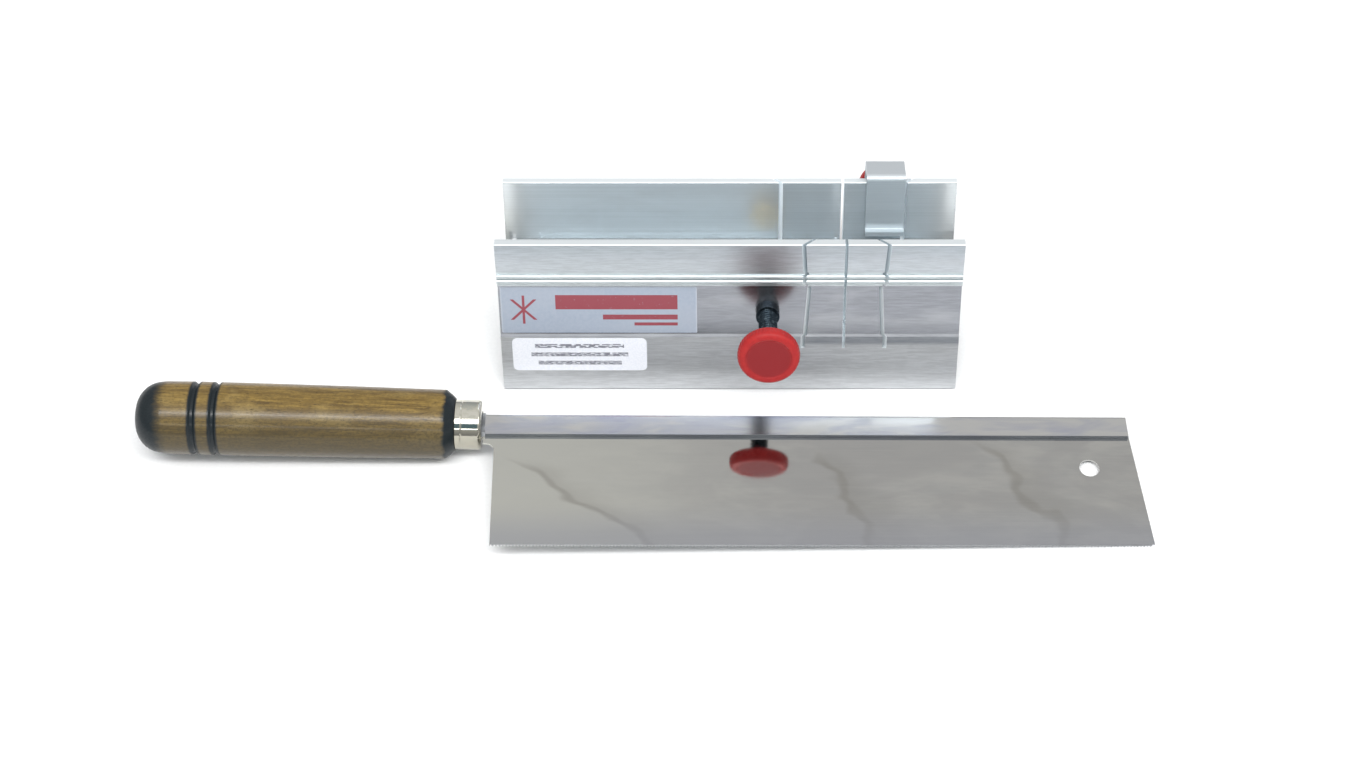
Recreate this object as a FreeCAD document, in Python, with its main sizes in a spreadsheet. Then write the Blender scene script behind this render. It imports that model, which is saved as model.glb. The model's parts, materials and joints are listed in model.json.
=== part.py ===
"""Miter box with its back saw, as a parametric FreeCAD document.

The set is an extruded aluminium miter box with a front hook lip, a thumb-screw work clamp through its
front wall, a stop clip that slides along its back wall, and a back saw that lies in front of it.

Box frame: x along the extrusion from its middle, y from the front face towards the back wall, z up from
the lip's lower edge. The box stands on its lip and on the rear lower edge of its floor, so it leans back.
Saw frame: x from heel to toe along the spine, y towards the spine's top edge, z square to the blade.
Turned pieces lie along their own x axis. The assembly's origin is the bottom centre of the whole set.
"""

import FreeCAD, Part
import math
import os
import re

import Sketcher
from FreeCAD import Placement, Rotation, Vector

SIZES = [
    # the extrusion
    ("box_length", 152.4, "length of the extrusion"),
    ("front_height", 57.7, "top of the front wall above the lip's lower edge"),
    ("back_height", 60.4, "top of the back wall"),
    ("channel_front", 3.4, "inner face of the front wall"),
    ("channel_back", 34.4, "inner face of the back wall, which is the fence"),
    ("back_wall", 3.0, "thickness of the back wall"),
    ("floor_top", 18.2, "top of the channel's floor"),
    ("floor_under", 9.0, "underside of the floor, which rests on a bench"),
    ("recess_front", 9.0, "front edge of the shallow recess in that underside"),
    ("recess_back", 28.0, "rear edge of that recess"),
    ("recess_high", 13.0, "top of that recess"),
    ("apron_high", 21.5, "top of the lip's plain apron"),
    ("panel_low", 22.0, "lower edge of the set-back label panel"),
    ("panel_foot", 0.8, "set-back of the panel at its lower edge"),
    ("panel_high", 40.9, "upper edge of the label panel"),
    ("panel_head", 2.0, "set-back of the panel at its upper edge"),
    ("neck_face", 0.9, "set-back of the face that carries the two beads"),
    ("bead_low", 42.85, "height of the lower bead"),
    ("bead_high", 44.75, "height of the upper bead"),
    ("bead_radius", 0.9, "radius of each bead"),
    ("rail_low", 46.6, "lower edge of the top rail"),
    ("rail_foot", 0.4, "set-back of the rail at its lower edge"),
    ("rail_head", 0.3, "how far the rail's top stands forward"),
    ("edge_round", 0.5, "rounding of the extrusion's outer edges"),
    ("relief_radius", 0.6, "radius of the chip relief in both corners of the floor"),
    # the saw slots
    ("kerf", 0.9, "width of a saw slot"),
    ("kerf_floor", 17.0, "lower end of the slots, just into the floor"),
    ("slot_x", 37.9, "x where the three slots cross"),
    ("slot_y", 13.6, "y where the three slots cross"),
    ("slot_reach", 180.0, "length of the cut that makes a slot"),
    ("miter_angle", 45.0, "angle between neighbouring slots"),
    # the work clamp
    ("screw_x", 12.5, "x of the clamp screw"),
    ("screw_z", 30.9, "height of the clamp screw"),
    ("screw_radius", 3.1, "clamp screw's thread over its crests"),
    ("screw_end", 1.3, "how far the screw's shank reaches past the front wall"),
    ("screw_chamfer", 0.5, "chamfer of a screw's shank"),
    ("bushing_radius", 3.9, "collar of the threaded bushing"),
    ("bushing_out", 2.2, "how far the bushing stands out in front"),
    ("bushing_flange", 5.6, "radius of the bushing's inner flange"),
    ("flange_depth", 1.0, "thickness of that flange"),
    ("thread_gap", 0.06, "radial gap between a thread and its nut"),
    ("seat_gap", 0.04, "radial gap between a fixed piece and its seat"),
    ("knob_gap", 20.2, "from the front wall's face to the back of the clamp knob"),
    ("knob_radius", 10.1, "clamp knob"),
    ("knob_depth", 4.7, "thickness of the clamp knob"),
    ("knob_dish", 0.5, "depth of the dished face of a knob"),
    ("knob_boss", 1.6, "length of a knob's rear boss"),
    ("boss_radius", 4.4, "radius of that boss"),
    ("knob_rim", 2.7, "width of the rim round a knob's dished face"),
    ("knob_edge", 1.7, "rounding of a knob's edges"),
    ("knob_grip", 3.4, "how deep a screw is moulded into its knob"),
    ("pad_radius", 5.5, "swivel pad"),
    ("pad_web", 0.8, "metal between the pad's face and its cup"),
    ("cup_radius", 2.5, "cup that holds the screw's head"),
    ("cup_depth", 1.8, "depth of that cup below the washer's seat"),
    ("head_radius", 2.3, "head on the screw's end"),
    ("head_depth", 1.5, "thickness of that head"),
    ("head_play", 0.15, "play of the head in the cup, and of the neck in the washer"),
    ("neck_radius", 1.5, "neck between the shank and the head"),
    ("neck_spare", 0.15, "from the washer to the head"),
    ("washer_radius", 2.9, "retaining washer in the pad's mouth"),
    ("washer_depth", 0.6, "thickness of the retaining washer"),
    # the stop
    ("stop_x", 52.3, "x of the stop clip's middle"),
    ("stop_width", 13.0, "width of the stop clip"),
    ("strip", 1.6, "thickness of the clip's strip"),
    ("clip_gap", 0.25, "gap between the clip and the back wall"),
    ("clip_rise", 1.7, "gap between the clip and the top of the back wall"),
    ("clip_depth", 11.6, "depth of the clip over its two legs"),
    ("clip_front_low", 41.7, "lower end of the clip's front leg"),
    ("clip_foot", 2.2, "how far the clip's foot stands forward of the front leg"),
    ("clip_rear_low", 43.0, "lower end of the clip's rear leg"),
    ("bend_round", 0.3, "inner radius of the clip's bends"),
    ("stop_screw_z", 48.9, "height of the stop screw"),
    ("stop_screw_radius", 2.05, "stop screw's thread over its crests"),
    ("stop_screw_end", 11.2, "from the back wall to the stop screw's knob"),
    ("tip_gap", 0.1, "from the back wall to the soft tip"),
    ("tip_depth", 1.6, "thickness of the soft tip on the stop screw"),
    ("tip_radius", 2.6, "radius of the soft tip"),
    ("peg_radius", 1.0, "peg of the stop screw inside its soft tip"),
    ("peg_depth", 1.0, "length of that peg"),
    ("nut_radius", 3.6, "flange of the press nut in the clip"),
    ("nut_shank", 2.9, "shank of the press nut"),
    ("nut_depth", 2.0, "thickness of the press nut's flange"),
    ("stop_knob_radius", 8.1, "stop knob"),
    ("stop_knob_depth", 4.0, "thickness of the stop knob"),
    # the labels
    ("label_depth", 0.1, "thickness of a label"),
    ("label_round", 1.8, "corner of the paper label"),
    ("big_label_length", 64.8, "foil label on the panel"),
    ("big_label_inset", 0.6, "from the box's end to the foil label"),
    ("small_label_length", 44.8, "paper label on the apron"),
    ("small_label_height", 13.1, "height of the paper label"),
    ("small_label_low", 7.8, "lower edge of the paper label"),
    ("small_label_inset", 3.7, "from the box's end to the paper label"),
    # the saw
    ("blade_length", 212.2, "length of the spine"),
    ("blade_width", 51.1, "from the spine's top to the tooth line"),
    ("blade_depth", 0.6, "thickness of the blade"),
    ("toe_slant", 3.1, "how far the toe runs out towards the teeth"),
    ("heel_inset", 3.0, "heel edge behind the spine's end"),
    ("heel_notch", 11.3, "from the spine's top to the heel's notch"),
    ("heel_round", 2.8, "rounding of the heel's notch"),
    ("tab_reach", 0.6, "blade's tab that reaches the ferrule"),
    ("tooth_pitch", 1.06, "pitch of the teeth"),
    ("tooth_depth", 0.7, "depth of the teeth"),
    ("hang_radius", 3.3, "hanging hole"),
    ("hang_x", 197.8, "x of the hanging hole"),
    ("hang_y", 20.5, "hanging hole below the spine's top"),
    ("spine_width", 8.5, "folded spine, from its top to its edge"),
    ("spine_depth", 3.2, "thickness of the spine over its fold"),
    ("spine_grip", 6.7, "depth of the blade inside the fold"),
    ("spine_round", 1.2, "rounding of the fold"),
    ("axis_drop", 3.7, "handle's axis below the spine's top"),
    ("handle_lean", 1.48, "lean of the handle's axis away from the teeth, in degrees"),
    ("tang_radius", 1.8, "round tang inside the handle"),
    ("tang_length", 58.0, "tang, from the spine's end"),
    ("tang_shoulder", 2.1, "flat shoulder of the tang behind the spine"),
    ("tang_width", 7.4, "width of that shoulder"),
    ("ferrule_start", 1.0, "from the spine's end to the ferrule's face"),
    ("ferrule_radius", 8.2, "outside of the ferrule"),
    ("ferrule_length", 8.7, "length of the ferrule"),
    ("ferrule_wall", 0.8, "wall of the ferrule"),
    ("ferrule_mouth", 4.6, "radius of the hole in the ferrule's face"),
    ("ferrule_round", 1.3, "rounding of the ferrule's front edge"),
    ("nose_gap", 0.9, "from the handle's nose to the ferrule's inner face"),
    ("handle_length", 103.5, "handle behind the ferrule"),
    ("front_radius", 11.3, "handle's radius at its front"),
    ("grip_radius", 12.0, "handle's radius at its thickest"),
    ("shoulder_radius", 9.0, "handle's radius against the ferrule"),
    ("shoulder_length", 3.2, "length of the chamfer behind the ferrule"),
    ("groove_near", 77.4, "from the ferrule to the first burnt groove"),
    ("groove_far", 84.0, "from the ferrule to the second burnt groove"),
    ("groove_radius", 1.4, "half the width of a burnt groove"),
    ("groove_depth", 0.9, "depth of a burnt groove"),
    ("grip_at", 68.0, "from the ferrule to the handle's thickest part"),
    ("bore_spare", 1.2, "bore of the handle beyond the tang's end"),
    ("butt_radius", 11.5, "handle's radius before its butt is rounded"),
    ("butt_round", 8.4, "rounding of the butt"),
    # where the saw lies
    ("saw_x", -80.2, "x of the spine's heel end from the box's middle"),
    ("saw_y", -19.6, "y of the spine's heel end from the box's lip"),
    ("saw_yaw", 1.62, "turn of the saw on the table, in degrees"),
]

doc = FreeCAD.newDocument("miter_box_saw")
sheet = doc.addObject("Spreadsheet::Sheet", "dims")
for row, (alias, size, note) in enumerate(SIZES, start=1):
    sheet.set(f"A{row}", alias)
    sheet.set(f"B{row}", str(size))
    sheet.set(f"C{row}", note)
    sheet.setAlias(f"B{row}", alias)
doc.recompute()

ALIASES = {alias for alias, size, note in SIZES}
X_AXIS = Vector(1, 0, 0)
Z_AXIS = Vector(0, 0, 1)
OUT_OF_FRONT = Rotation(Z_AXIS, -90)
OUT_OF_BACK = Rotation(Z_AXIS, 90)
TOWARDS_BUTT = Rotation(Z_AXIS, 180)
NEAR = 0.01
SETTLE_STEPS = 6


def formula(spec):
    """A sum of sizes, such as "channel_back + back_wall/2", as an expression on the sheet's cells."""
    return re.sub(r"[a-z_]+", lambda word: "dims." + word[0] if word[0] in ALIASES else word[0], spec)


def value(spec):
    """What such a sum comes to."""
    return float(sheet.evalExpression(formula(spec)))


def bind(thing, **specs):
    """Tie an object's properties to the sheet."""
    for name, spec in specs.items():
        thing.setExpression(name, formula(spec))


# ---- sketches and features ----

def new_body(label):
    body = doc.addObject("PartDesign::Body", label)
    body.Label = label
    return body


def datum(body, role):
    """One of a body's own origin planes or axes, such as "XY_Plane"."""
    return next(feature for feature in body.Origin.OriginFeatures if feature.Role == role)


def new_sketch(body, plane, name):
    sketch = body.newObject("Sketcher::SketchObject", name)
    sketch.AttachmentSupport = [(datum(body, plane), "")]
    sketch.MapMode = "FlatFace"
    return sketch


def place_point(sketch, geometry, end, spot):
    """Fix a point of a sketch at a pair of specs."""
    for kind, spec in zip(("DistanceX", "DistanceY"), spot):
        constraint = Sketcher.Constraint(kind, -1, 1, geometry, end, value(spec))
        index = sketch.addConstraint(constraint)
        sketch.setExpression(f"Constraints[{index}]", formula(spec))


def polygon(body, plane, name, corners):
    """Closed sketch through corners, each a pair of specs in the plane's own two directions."""
    sketch = new_sketch(body, plane, name)
    spots = [Vector(value(across), value(up), 0) for across, up in corners]
    for start, end in zip(spots, spots[1:] + spots[:1]):
        sketch.addGeometry(Part.LineSegment(start, end))
    for line, spot in enumerate(corners):
        sketch.addConstraint(Sketcher.Constraint("Coincident", line, 2, (line + 1) % len(corners), 1))
        place_point(sketch, line, 1, spot)
    return sketch


def circles(body, plane, name, radius, centres):
    """Sketch of equal circles at pairs of specs."""
    sketch = new_sketch(body, plane, name)
    for circle, spot in enumerate(centres):
        centre = Vector(value(spot[0]), value(spot[1]), 0)
        sketch.addGeometry(Part.Circle(centre, Z_AXIS, value(radius)))
        place_point(sketch, circle, 3, spot)
        index = sketch.addConstraint(Sketcher.Constraint("Radius", circle, value(radius)))
        sketch.setExpression(f"Constraints[{index}]", formula(radius))
    return sketch


def pad(body, name, sketch, length, symmetric=False, backwards=False):
    feature = body.newObject("PartDesign::Pad", name)
    feature.Profile = sketch
    feature.SideType = "Symmetric" if symmetric else "One side"
    feature.Reversed = backwards
    bind(feature, Length=length)
    return feature


def pocket(body, name, sketch, length, symmetric=False, backwards=False):
    """Cut a sketch out of the body, and make sure that the cut removes material."""
    doc.recompute()
    before = body.Shape.Volume
    feature = body.newObject("PartDesign::Pocket", name)
    feature.Profile = sketch
    feature.SideType = "Symmetric" if symmetric else "One side"
    feature.Reversed = backwards
    bind(feature, Length=length)
    doc.recompute()
    if body.Shape.Volume >= before - NEAR:
        raise RuntimeError(f"{name} cuts nothing")
    return feature


def turned(label, profile):
    """A body turned about its x axis from a profile of (x, radius) specs."""
    body = new_body(label)
    feature = body.newObject("PartDesign::Revolution", label + "_turn")
    feature.Profile = polygon(body, "XY_Plane", label + "_profile", profile)
    feature.ReferenceAxis = (datum(body, "X_Axis"), [""])
    feature.Angle = 360
    return body, feature


def round_edges(body, name, radius, wanted):
    """Round those edges of the body's last feature that wanted(edge) picks."""
    doc.recompute()
    base = body.Tip
    edges = [f"Edge{place}" for place, edge in enumerate(base.Shape.Edges, start=1) if wanted(edge)]
    if not edges:
        raise RuntimeError(f"{name} finds no edge")
    feature = body.newObject("PartDesign::Fillet", name)
    feature.Base = (base, edges)
    bind(feature, Radius=radius)
    return feature


def spans(edge, direction):
    """Whether an edge is straight and runs along a direction."""
    return edge.Curve.TypeId == "Part::GeomLine" and abs(edge.tangentAt(0).dot(direction)) > 1 - NEAR


def passes(edge, **spot):
    """Whether an edge's middle has these coordinates, such as y=0.0, z=12.0."""
    middle = edge.BoundBox.Center
    return all(abs(getattr(middle, axis) - place) < NEAR for axis, place in spot.items())


def circle_at(edge, x, radius):
    """Whether an edge is a circle of this radius about the x axis."""
    round_edge = edge.Curve.TypeId == "Part::GeomCircle"
    return round_edge and passes(edge, x=x) and abs(edge.Curve.Radius - radius) < NEAR


# ---- the miter box ----

def make_miter_box():
    """Extrusion with a hook lip, a channel, two beads, six saw slots and the clamp's hole."""
    body = new_body("miter_box")
    section = polygon(body, "YZ_Plane", "section", [
        ("0", "0"),
        ("channel_front", "0"),
        ("channel_front", "floor_under"),
        ("recess_front", "floor_under"),
        ("recess_front", "recess_high"),
        ("recess_back", "recess_high"),
        ("recess_back", "floor_under"),
        ("channel_back + back_wall", "floor_under"),
        ("channel_back + back_wall", "back_height"),
        ("channel_back", "back_height"),
        ("channel_back", "floor_top"),
        ("channel_front", "floor_top"),
        ("channel_front", "front_height"),
        ("-rail_head", "front_height"),
        ("rail_foot", "rail_low"),
        ("neck_face", "rail_low"),
        ("neck_face", "panel_high"),
        ("panel_head", "panel_high"),
        ("panel_foot", "panel_low"),
        ("0", "apron_high"),
    ])
    pad(body, "extrusion", section, "box_length", symmetric=True)
    beads = circles(body, "YZ_Plane", "bead_circles", "bead_radius",
                    [("neck_face", "bead_low"), ("neck_face", "bead_high")])
    pad(body, "beads", beads, "box_length", symmetric=True)
    reliefs = circles(body, "YZ_Plane", "relief_circles", "relief_radius",
                      [("channel_front", "floor_top"), ("channel_back", "floor_top")])
    pocket(body, "chip_reliefs", reliefs, "box_length + 2", symmetric=True)

    lines = [(0.0, 0.0), (-value("rail_head"), value("front_height")),
             (value("channel_front"), value("front_height")),
             (value("channel_back"), value("back_height")),
             (value("channel_back + back_wall"), value("back_height"))]
    round_edges(body, "outer_edges", "edge_round",
                lambda edge: spans(edge, X_AXIS) and any(passes(edge, y=y, z=z) for y, z in lines))

    hole = circles(body, "XZ_Plane", "clamp_circle", "bushing_radius + seat_gap", [("screw_x", "screw_z")])
    pocket(body, "clamp_hole", hole, "channel_front + bushing_out")
    for name, turn in (("slot_left", "miter_angle"), ("slot_square", "0"), ("slot_right", "-miter_angle")):
        outline = polygon(body, "XY_Plane", name + "_outline", [
            ("-kerf/2", "-slot_reach/2"),
            ("kerf/2", "-slot_reach/2"),
            ("kerf/2", "slot_reach/2"),
            ("-kerf/2", "slot_reach/2"),
        ])
        outline.AttachmentOffset = Placement(Vector(0, 0, 0), Rotation(Z_AXIS, value(turn)))
        outline.setExpression("AttachmentOffset.Base.x", formula("slot_x"))
        outline.setExpression("AttachmentOffset.Base.y", formula("slot_y"))
        outline.setExpression("AttachmentOffset.Base.z", formula("kerf_floor"))
        outline.setExpression("AttachmentOffset.Rotation.Angle", formula(turn))
        pocket(body, name, outline, "back_height", backwards=True)
    return body, Placement()


def make_label(label, length, height, corner):
    """Thin rectangle in the x-z plane with rounded corners, its back at y = 0 and its front before it."""
    body = new_body(label)
    sheet_outline = polygon(body, "XZ_Plane", label + "_outline",
                            [("0", "0"), (length, "0"), (length, height), ("0", height)])
    pad(body, label + "_sheet", sheet_outline, "label_depth")
    round_edges(body, label + "_corners", corner, lambda edge: spans(edge, Vector(0, 1, 0)))
    return body


def make_panel_label():
    """Foil label that covers the left part of the set-back panel and leans with it."""
    body = make_label("panel_label", "big_label_length", "panel_high - panel_low - 2*big_label_inset", "0.4")
    rise = value("panel_high - panel_low")
    lean = math.atan2(value("panel_head - panel_foot"), rise)
    step = value("big_label_inset")
    foot = Vector(value("-box_length/2 + big_label_inset"), value("panel_foot") + step * math.tan(lean),
                  value("panel_low") + step)
    return body, Placement(foot, Rotation(X_AXIS, -math.degrees(lean)))


def make_apron_label():
    """Small paper label on the apron."""
    body = make_label("apron_label", "small_label_length", "small_label_height", "label_round")
    foot = Vector(value("-box_length/2 + small_label_inset"), 0, value("small_label_low"))
    return body, Placement(foot, Rotation())


# ---- the work clamp, turned about the screw's axis, x out of the front wall ----

def clamp_place():
    return Placement(Vector(value("screw_x"), 0, value("screw_z")), OUT_OF_FRONT)


def make_bushing():
    """Threaded bushing, pushed through the front wall from inside."""
    bore = "screw_radius + thread_gap"
    body, _ = turned("clamp_bushing", [
        ("-channel_front - flange_depth", bore),
        ("bushing_out", bore),
        ("bushing_out", "bushing_radius"),
        ("-channel_front", "bushing_radius"),
        ("-channel_front", "bushing_flange"),
        ("-channel_front - flange_depth", "bushing_flange"),
    ])
    return body, clamp_place()


def make_clamp_screw():
    """Screw with a headed neck at its inner end, moulded into its knob at the other."""
    shank_low = "-channel_front - screw_end"
    head_top = shank_low + " - head_play - head_play - washer_depth - neck_spare"
    body, _ = turned("clamp_screw", [
        (head_top + " - head_depth", "0"),
        ("knob_gap + knob_grip", "0"),
        ("knob_gap + knob_grip", "screw_radius"),
        (shank_low + " + screw_chamfer", "screw_radius"),
        (shank_low, "screw_radius - screw_chamfer"),
        (shank_low, "neck_radius"),
        (head_top, "neck_radius"),
        (head_top, "head_radius"),
        (head_top + " - head_depth", "head_radius"),
    ])
    return body, clamp_place()


def make_knob(label, gap, radius, depth, shank):
    """Round plastic knob with a rear boss, a dished face and a blind hole for its screw."""
    front = gap + " + knob_boss + " + depth
    bore = shank + " + seat_gap"
    inner = radius + " - knob_rim"
    body, _ = turned(label, [
        (gap, bore),
        (gap + " + knob_grip", bore),
        (gap + " + knob_grip", "0"),
        (front + " - knob_dish", "0"),
        (front + " - knob_dish", inner + " - knob_dish"),
        (front, inner),
        (front, radius),
        (gap + " + knob_boss", radius),
        (gap + " + knob_boss", "boss_radius"),
        (gap, "boss_radius"),
    ])
    round_edges(body, label + "_edges", "knob_edge",
                lambda edge: any(circle_at(edge, value(x), value(radius)) for x in (front, gap + " + knob_boss")))
    return body


def make_clamp_knob():
    return make_knob("clamp_knob", "knob_gap", "knob_radius", "knob_depth", "screw_radius"), clamp_place()


def make_swivel_pad():
    """Pad with a cup for the screw's head and a wider mouth for the retaining washer."""
    rear = "-channel_front - screw_end - head_play"
    seat = rear + " - washer_depth - head_play"
    cup_floor = seat + " - cup_depth"
    body, _ = turned("swivel_pad", [
        (cup_floor + " - pad_web", "0"),
        (cup_floor, "0"),
        (cup_floor, "cup_radius"),
        (seat, "cup_radius"),
        (seat, "washer_radius + seat_gap"),
        (rear, "washer_radius + seat_gap"),
        (rear, "pad_radius"),
        (cup_floor + " - pad_web", "pad_radius"),
    ])
    front = value(cup_floor + " - pad_web")
    round_edges(body, "pad_edges", "edge_round",
                lambda edge: circle_at(edge, front, value("pad_radius")))
    return body, clamp_place()


def make_retaining_washer():
    """Washer pressed into the pad's mouth behind the screw's head."""
    rear = "-channel_front - screw_end - head_play - head_play"
    bore = "neck_radius + head_play"
    body, _ = turned("retaining_washer", [
        (rear + " - washer_depth", bore),
        (rear, bore),
        (rear, "washer_radius"),
        (rear + " - washer_depth", "washer_radius"),
    ])
    return body, clamp_place()


# ---- the stop clip, turned pieces about the stop screw's axis, x out of the back wall ----

def stop_place():
    foot = Vector(value("stop_x"), value("channel_back + back_wall"), value("stop_screw_z"))
    return Placement(foot, OUT_OF_BACK)


def make_stop_clip():
    """Strip bent over the back wall, with a foot at its front and a hole for the press nut."""
    body = new_body("stop_clip")
    front = "channel_back - clip_gap - strip"
    rear = front + " + clip_depth"
    top = "back_height + clip_rise + strip"
    section = polygon(body, "YZ_Plane", "strip_section", [
        (front + " - clip_foot", "clip_front_low"),
        (front + " + strip", "clip_front_low"),
        (front + " + strip", top + " - strip"),
        (rear + " - strip", top + " - strip"),
        (rear + " - strip", "clip_rear_low"),
        (rear, "clip_rear_low"),
        (rear, top),
        (front, top),
        (front, "clip_front_low + strip"),
        (front + " - clip_foot", "clip_front_low + strip"),
    ])
    pad(body, "strip_pad", section, "stop_width", symmetric=True)
    y_front, y_rear, z_top, thick = value(front), value(rear), value(top), value("strip")
    outer = [(y_front, z_top), (y_rear, z_top), (y_front + thick, value("clip_front_low"))]
    inner = [(y_front + thick, z_top - thick), (y_rear - thick, z_top - thick),
             (y_front, value("clip_front_low + strip"))]
    for name, radius, spots in (("outer_bends", "bend_round + strip", outer), ("inner_bends", "bend_round", inner)):
        round_edges(body, name, radius,
                    lambda edge: spans(edge, X_AXIS) and any(passes(edge, y=y, z=z) for y, z in spots))
    hole = circles(body, "XZ_Plane", "nut_circle", "nut_shank + seat_gap", [("0", "stop_screw_z")])
    hole.setExpression("AttachmentOffset.Base.z", formula("-(" + rear + " + strip)"))
    pocket(body, "nut_hole", hole, "3*strip", backwards=True)
    return body, Placement(Vector(value("stop_x"), 0, 0), Rotation())


def make_press_nut():
    """Nut pressed into the clip's rear leg, its flange behind the leg."""
    leg = "clip_depth - clip_gap - strip - back_wall"
    bore = "stop_screw_radius + thread_gap"
    body, _ = turned("press_nut", [
        (leg + " - strip", bore),
        (leg + " + nut_depth", bore),
        (leg + " + nut_depth", "nut_radius"),
        (leg, "nut_radius"),
        (leg, "nut_shank"),
        (leg + " - strip", "nut_shank"),
    ])
    return body, stop_place()


def make_stop_screw():
    """Screw with a peg at its end for the soft tip."""
    shoulder = "tip_gap + tip_depth"
    body, _ = turned("stop_screw", [
        (shoulder + " - peg_depth", "0"),
        ("stop_screw_end + knob_grip", "0"),
        ("stop_screw_end + knob_grip", "stop_screw_radius"),
        (shoulder + " + head_play", "stop_screw_radius"),
        (shoulder + " + head_play", "peg_radius"),
        (shoulder + " - peg_depth", "peg_radius"),
    ])
    return body, stop_place()


def make_stop_tip():
    """Soft tip that bears on the back wall."""
    body, _ = turned("stop_tip", [
        ("tip_gap", "0"),
        ("tip_gap + tip_depth - peg_depth - head_play", "0"),
        ("tip_gap + tip_depth - peg_depth - head_play", "peg_radius + thread_gap"),
        ("tip_gap + tip_depth", "peg_radius + thread_gap"),
        ("tip_gap + tip_depth", "tip_radius"),
        ("tip_gap", "tip_radius"),
    ])
    return body, stop_place()


def make_stop_knob():
    body = make_knob("stop_knob", "stop_screw_end", "stop_knob_radius", "stop_knob_depth", "stop_screw_radius")
    return body, stop_place()


# ---- the saw ----

def make_saw_blade():
    """Thin plate with a tab at its heel, a hanging hole and a row of fine teeth."""
    body = new_body("saw_blade")
    fold_floor = "spine_grip - spine_width"
    outline = polygon(body, "XY_Plane", "blade_outline", [
        ("thread_gap", fold_floor),
        ("blade_length - thread_gap", fold_floor),
        ("blade_length + toe_slant", "-blade_width"),
        ("heel_inset", "-blade_width"),
        ("heel_inset", "-heel_notch"),
        ("-tab_reach", "-heel_notch"),
        ("-tab_reach", "-spine_width"),
        ("thread_gap", "-spine_width"),
    ])
    pad(body, "blade_plate", outline, "blade_depth", symmetric=True)
    notch_x, notch_y = value("heel_inset"), value("-heel_notch")
    round_edges(body, "heel_fillet", "heel_round",
                lambda edge: spans(edge, Z_AXIS) and passes(edge, x=notch_x, y=notch_y))
    hole = circles(body, "XY_Plane", "hang_circle", "hang_radius", [("hang_x", "-hang_y")])
    pocket(body, "hang_hole", hole, "2*blade_depth", symmetric=True)
    gullet = polygon(body, "XY_Plane", "gullet_outline", [
        ("heel_inset + tooth_pitch*0.15", "-blade_width - tooth_depth*0.1"),
        ("heel_inset + tooth_pitch", "-blade_width - tooth_depth*0.1"),
        ("heel_inset + tooth_pitch*0.5", "-blade_width + tooth_depth"),
    ])
    first = pocket(body, "first_gullet", gullet, "2*blade_depth", symmetric=True)
    teeth = body.newObject("PartDesign::LinearPattern", "teeth")
    teeth.Originals = [first]
    teeth.Direction = (datum(body, "X_Axis"), [""])
    count = int(value("(blade_length + toe_slant - heel_inset)/tooth_pitch")) - 1
    teeth.Occurrences = count
    bind(teeth, Length=f"tooth_pitch*{count - 1}")
    body.Tip = teeth
    return body, Placement()


def make_saw_spine():
    """Strip folded over the blade's upper edge."""
    body = new_body("saw_spine")
    section = polygon(body, "YZ_Plane", "fold_section", [
        ("0", "-spine_depth/2"),
        ("0", "spine_depth/2"),
        ("-spine_width", "spine_depth/2"),
        ("-spine_width", "blade_depth/2 + seat_gap"),
        ("spine_grip - spine_width", "blade_depth/2 + seat_gap"),
        ("spine_grip - spine_width", "-blade_depth/2 - seat_gap"),
        ("-spine_width", "-blade_depth/2 - seat_gap"),
        ("-spine_width", "-spine_depth/2"),
    ])
    pad(body, "fold", section, "blade_length")
    round_edges(body, "fold_bend", "spine_round", lambda edge: spans(edge, X_AXIS) and passes(edge, y=0.0))
    return body, Placement()


def handle_place(along):
    """Placement of a piece that lies on the handle's leaning axis, x towards the butt."""
    lean = Placement(Vector(0, -value("axis_drop"), 0), Rotation(Z_AXIS, -value("handle_lean")))
    return lean * Placement(Vector(-value(along), 0, 0), TOWARDS_BUTT)


def make_tang():
    """Flat shoulder behind the spine, and a round tang that runs into the handle."""
    body = new_body("tang")
    shoulder = polygon(body, "XY_Plane", "shoulder_outline", [
        ("tang_width/2 * tan(handle_lean)", "-tang_width/2"),
        ("tang_shoulder", "-tang_width/2"),
        ("tang_shoulder", "tang_width/2"),
        ("-tang_width/2 * tan(handle_lean)", "tang_width/2"),
    ])
    pad(body, "shoulder", shoulder, "spine_depth", symmetric=True)
    rod = circles(body, "YZ_Plane", "rod_section", "tang_radius", [("0", "0")])
    rod.setExpression("AttachmentOffset.Base.z", formula("tang_shoulder/2"))
    pad(body, "rod", rod, "tang_length - tang_shoulder/2")
    return body, handle_place("0")


def make_ferrule():
    """Drawn cup round the handle's nose, with a mouth for the tang."""
    inside = "ferrule_radius - ferrule_wall"
    body, _ = turned("ferrule", [
        ("0", "ferrule_mouth"),
        ("0", "ferrule_radius"),
        ("ferrule_length", "ferrule_radius"),
        ("ferrule_length", inside),
        ("ferrule_wall", inside),
        ("ferrule_wall", "ferrule_mouth"),
    ])
    round_edges(body, "ferrule_edge", "ferrule_round",
                lambda edge: circle_at(edge, 0.0, value("ferrule_radius")))
    return body, handle_place("ferrule_start")


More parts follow.
